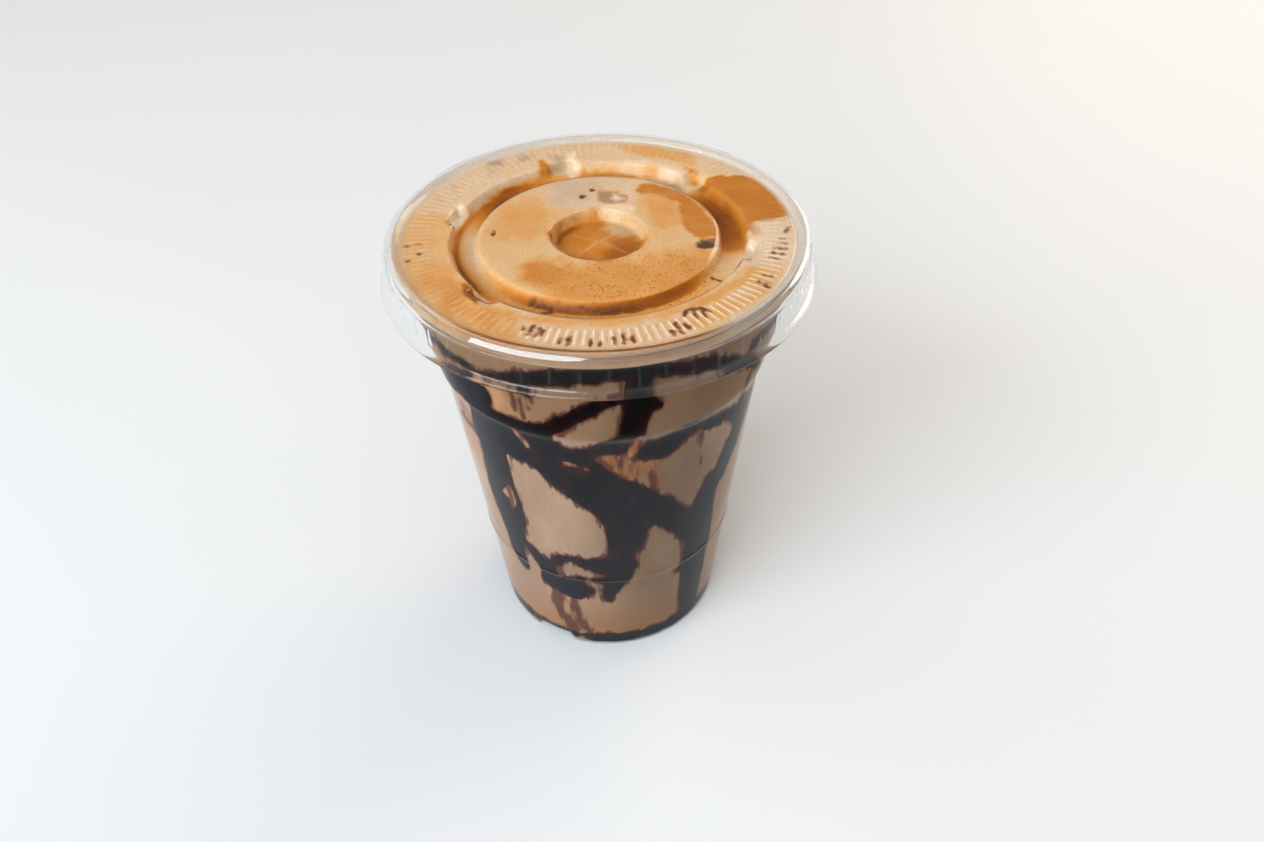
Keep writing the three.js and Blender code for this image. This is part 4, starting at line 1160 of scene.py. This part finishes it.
def milk_foam(c):
    """Coffee foam pressed against the lid: fine pores, from pale and dry to golden and brown where it is
    wet, the darker tones also painted shade, grey or white in open bubbles, white also as painted
    highlights, and streaked by the lid's ribs with painted highlights and shade"""
    material, add = new_material("milk_foam")
    where = add("TexCoord", output="Object")
    tone, grey, white, stripe, lip, porous, drop = [
        add("Attribute", output="Fac", attribute_name=name)
        for name in ("tone", "grey", "white", "stripe", "lip", "porous", "speck_mm")
    ]
    cloud, grain, crowd, fine = grains(add, where, (8, 5, 1), (1.4, 3, 1), (3.5, 3, 1), (0.7, 4, 1))
    tone = add("Math", [tone, 0.46], operation="SUBTRACT")
    for field, times in ((grain, 0.22), (cloud, 0.7)):
        tone = add("Math", [field, times, tone], operation="MULTIPLY_ADD")
    body = add("ValToRGB", [add("MapRange", [tone, 0, 2.5])], "Color")
    wetness = body.node.color_ramp.elements
    tints = [c.foam_pale, c.foam_light, c.foam_gold, c.foam_deep, c.foam_brown, c.foam_dark]
    while len(wetness) < len(tints):
        wetness.new(0.5)
    for spot, (stop, tint) in enumerate(zip(wetness, tints)):
        stop.position, stop.color = spot / 5, (*tint, 1)
    # ribs: a painted highlight along each, painted shade in brown between
    stripe = add("Math", [stripe, 0.45], operation="SUBTRACT")
    stripe = add("Math", [grain, 0.9, stripe], operation="MULTIPLY_ADD")
    rib_highlight = add("MapRange", [stripe, 0.3, 0.95, 0, 0.8], **SMOOTH)
    between = add("MapRange", [stripe, -0.1, -0.75, 0, 0.6], **SMOOTH)
    # pores about 0.3 mm across, drawn as coarse as they need to show, in uneven crowds
    pores = add("TexVoronoi", {"Vector": where, "Scale": 1 / (1 * MM)})
    pores = add("Math", [pores, 0.15], operation="SUBTRACT")
    pores = add("Math", [grain, 0.3, pores], operation="MULTIPLY_ADD")
    crowd = add("Math", [crowd, 0.75, -0.36], operation="MULTIPLY_ADD")
    pores = add("Math", [pores, crowd], operation="SUBTRACT")
    pores = add("MapRange", [pores, 0.12, 0.33, 0.6, 0], **SMOOTH)
    often = add("Math", [porous, 0.85, 0.15], operation="MULTIPLY_ADD")
    pores = add("Math", [pores, often], operation="MULTIPLY")
    mottle = add("MapRange", [fine, 0.35, 0.7, 0, 0.22], **SMOOTH)
    drop_rim = add("MapRange", [drop, 0, 0.5, 0.7, 0], **SMOOTH)
    drop = add("MapRange", [drop, -0.3, 0.1, 0.9, 0], **SMOOTH)
    for share, tint in (
        (grey, c.foam_grey),
        # white froth, and painted highlights
        (white, c.foam_white_and_highlight),
        # painted highlights on the ribs, painted shade between them
        (rib_highlight, c.foam_white_and_highlight),
        (between, c.foam_deep),
        (lip, c.foam_lip),
        (pores, c.foam_brown),
        (mottle, c.foam_deep),
        (drop_rim, c.foam_brown),
        (drop, c.foam_dark),
    ):
        body = add("Mix", [share, body, tint], **COLOUR)
    bump = add("Bump", {"Height": grain, "Distance": 0.03 * MM, "Strength": 1})
    surface = {"Base Color": body, "Roughness": 0.55, "Specular IOR Level": 0.15, "Normal": bump}
    add("OutputMaterial", [add("BsdfPrincipled", surface)])
    return material


def pale_table(c):
    """A matt white laminate table top, with the faintest mottle"""
    material, add = new_material("white_laminate")
    where = add("TexCoord", output="Object")
    mottle = add("TexNoise", {"Vector": where, "Scale": 6, "Detail": 3})
    shade = add("MapRange", [mottle, 0.3, 0.7, 0.985, 1])
    body = add("Mix", [1, c.table, shade], blend_type="MULTIPLY", **COLOUR)
    surface = {"Base Color": body, "Roughness": 0.55, "Specular IOR Level": 0.3}
    add("OutputMaterial", [add("BsdfPrincipled", surface)])
    return material


def finish_piece(piece, material, cad_node):
    """Gives a piece its material and ties it to the frame"""
    piece.data.materials.clear()
    piece.data.materials.append(material)
    bpy.ops.object.select_all(action="DESELECT")
    piece.select_set(True)
    bpy.context.view_layer.objects.active = piece
    bpy.ops.object.shade_smooth()
    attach(piece, "root")
    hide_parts(cad_node)


# ---------------------------------------------------------------- operators


class DRINK_OT_stage(bpy.types.Operator):
    """Adds the table, the lights and the camera"""

    bl_idname = "drink.stage"
    bl_label = "Stage"

    def execute(self, context):
        colours = context.scene.drink_colours
        bpy.ops.object.select_all(action="DESELECT")
        spot = (0, 0, -0.0001)
        bpy.ops.mesh.primitive_grid_add(x_subdivisions=24, y_subdivisions=24, size=9, location=spot)
        floor = context.object
        floor.name = "table_top"
        bpy.ops.object.transform_apply(location=True, rotation=False, scale=False)
        floor.data.materials.append(pale_table(colours))
        world = context.scene.world or bpy.data.worlds.new("studio")
        context.scene.world = world
        world.use_nodes = True
        world.node_tree.nodes.clear()
        add = functools.partial(node, world.node_tree)
        # a pale room, brighter on the left, darker where the lid would mirror it to the camera
        way = add("TexCoord", output="Generated")
        left = add("VectorMath", [way, (-0.9, -0.1, 0.4)], operation="DOT_PRODUCT")
        left = add("MapRange", [left, -1, 1, 0.74, 1.07])
        back = add("VectorMath", [way, (0, 0.75, 0.66)], operation="DOT_PRODUCT")
        back = add("MapRange", [back, 0.6, 0.95, 1, 0.35])
        level = add("Math", [left, back], operation="MULTIPLY")
        add("OutputWorld", [add("Background", {"Color": (0.95, 0.93, 0.925), "Strength": level})])
        self.window("cool_window", -42, 32, 1.4, 0.9, 33, (0.8, 0.91, 1.0))
        self.window("warm_window", 137, 26, 1.1, 0.7, 11, (1.0, 0.86, 0.66))
        context.scene.view_settings.view_transform = "Standard"
        self.camera(context)
        return {"FINISHED"}

    def window(self, name, azimuth, elevation, wide, high, power, tint):
        """A soft rectangle of light aimed at the cup from 1.5 m"""
        a, e = math.radians(azimuth), math.radians(elevation)
        way = Vector((math.sin(a) * math.cos(e), -math.cos(a) * math.cos(e), math.sin(e)))
        turn = way.to_track_quat("Z", "Y").to_euler()
        bpy.ops.object.light_add(type="AREA", location=way * 1.5 + Vector((0, 0, 0.06)), rotation=turn)
        lamp = bpy.context.object
        lamp.name = name
        lamp.data.shape = "RECTANGLE"
        lamp.data.size, lamp.data.size_y = wide, high
        lamp.data.energy, lamp.data.color = power, tint

    def camera(self, context):
        """The photograph's viewpoint: 41 degrees down from the front"""
        down, aside, tilt = map(math.radians, (40.8095, 1.8916, -0.7877))
        ahead = Vector((math.sin(aside) * math.cos(down), math.cos(aside) * math.cos(down), -math.sin(down)))
        right = ahead.cross(Vector((0, 0, 1))).normalized()
        up = right.cross(ahead)
        across = math.cos(tilt) * right + math.sin(tilt) * up
        above = math.cos(tilt) * up - math.sin(tilt) * right
        turn = Matrix((across, above, -ahead)).transposed().to_euler()
        bpy.ops.object.camera_add(location=(0, -0.22063, 0.24777), rotation=turn)
        camera = context.object
        camera.name = "photo_view"
        camera.data.lens, camera.data.sensor_width = 30.355, 36
        camera.data.clip_start, camera.data.clip_end = 0.01, 30
        context.scene.camera = camera


class DRINK_OT_cup(bpy.types.Operator):
    """Models the clear cup"""

    bl_idname = "drink.cup"
    bl_label = "Cup"

    def execute(self, context):
        piece = shape_cup(sizes_of(context.scene.drink_cup))
        material = clear_pet("PET_cup", context.scene.drink_colours.plastic, 0.035, 9, 0.05, 1.06)
        finish_piece(piece, material, "cup")
        return {"FINISHED"}


class DRINK_OT_lid(bpy.types.Operator):
    """Models the flat lid"""

    bl_idname = "drink.lid"
    bl_label = "Lid"

    def execute(self, context):
        piece = shape_lid(sizes_of(context.scene.drink_lid))
        material = clear_pet("PET_lid", context.scene.drink_colours.plastic, 0.03, 6, 0.06, 1.04)
        finish_piece(piece, material, "lid")
        return {"FINISHED"}


class DRINK_OT_foam(bpy.types.Operator):
    """Models the foam under the lid"""

    bl_idname = "drink.foam"
    bl_label = "Foam"

    def execute(self, context):
        scene = context.scene
        piece = shape_foam(sizes_of(scene.drink_lid), sizes_of(scene.drink_cup), sizes_of(scene.drink_fill))
        finish_piece(piece, milk_foam(scene.drink_colours), "foam")
        return {"FINISHED"}


class DRINK_OT_coffee(bpy.types.Operator):
    """Models the coffee"""

    bl_idname = "drink.coffee"
    bl_label = "Coffee"

    def execute(self, context):
        scene = context.scene
        piece = shape_coffee(sizes_of(scene.drink_cup), sizes_of(scene.drink_fill))
        finish_piece(piece, milk_coffee(scene.drink_colours), "drink")
        return {"FINISHED"}


class DRINK_OT_syrup(bpy.types.Operator):
    """Models the chocolate syrup on the wall"""

    bl_idname = "drink.syrup"
    bl_label = "Syrup"

    def execute(self, context):
        scene = context.scene
        piece = shape_syrup(sizes_of(scene.drink_cup), sizes_of(scene.drink_fill))
        finish_piece(piece, chocolate_syrup(scene.drink_colours), "drink")
        return {"FINISHED"}


class DRINK_PT_panel(bpy.types.Panel):
    """The drink's sizes, colours and pieces"""

    bl_idname = "DRINK_PT_panel"
    bl_label = "Iced chocolate coffee"
    bl_space_type = "VIEW_3D"
    bl_region_type = "UI"
    bl_category = "Drink"

    def draw(self, context):
        for operator in OPERATORS:
            self.layout.operator(operator.bl_idname)
        for name in GROUPS:
            box = self.layout.box()
            group = getattr(context.scene, name)
            for item in group.__annotations__:
                box.prop(group, item)


OPERATORS = [DRINK_OT_stage, DRINK_OT_cup, DRINK_OT_lid, DRINK_OT_foam, DRINK_OT_coffee, DRINK_OT_syrup]
GROUPS = {
    "drink_cup": CupSizes,
    "drink_lid": LidSizes,
    "drink_fill": DrinkSizes,
    "drink_colours": Colours,
}


def register():
    for made in (*GROUPS.values(), *OPERATORS, DRINK_PT_panel):
        bpy.utils.register_class(made)
    for name, group in GROUPS.items():
        setattr(bpy.types.Scene, name, bpy.props.PointerProperty(type=group))


def unregister():
    for name in GROUPS:
        delattr(bpy.types.Scene, name)
    for made in (DRINK_PT_panel, *OPERATORS, *GROUPS.values()):
        bpy.utils.unregister_class(made)


def main():
    register()
    bpy.ops.object.select_all(action="DESELECT")
    for operator in OPERATORS:
        group, name = operator.bl_idname.split(".")
        getattr(getattr(bpy.ops, group), name)()


if __name__ == "__main__":
    main()
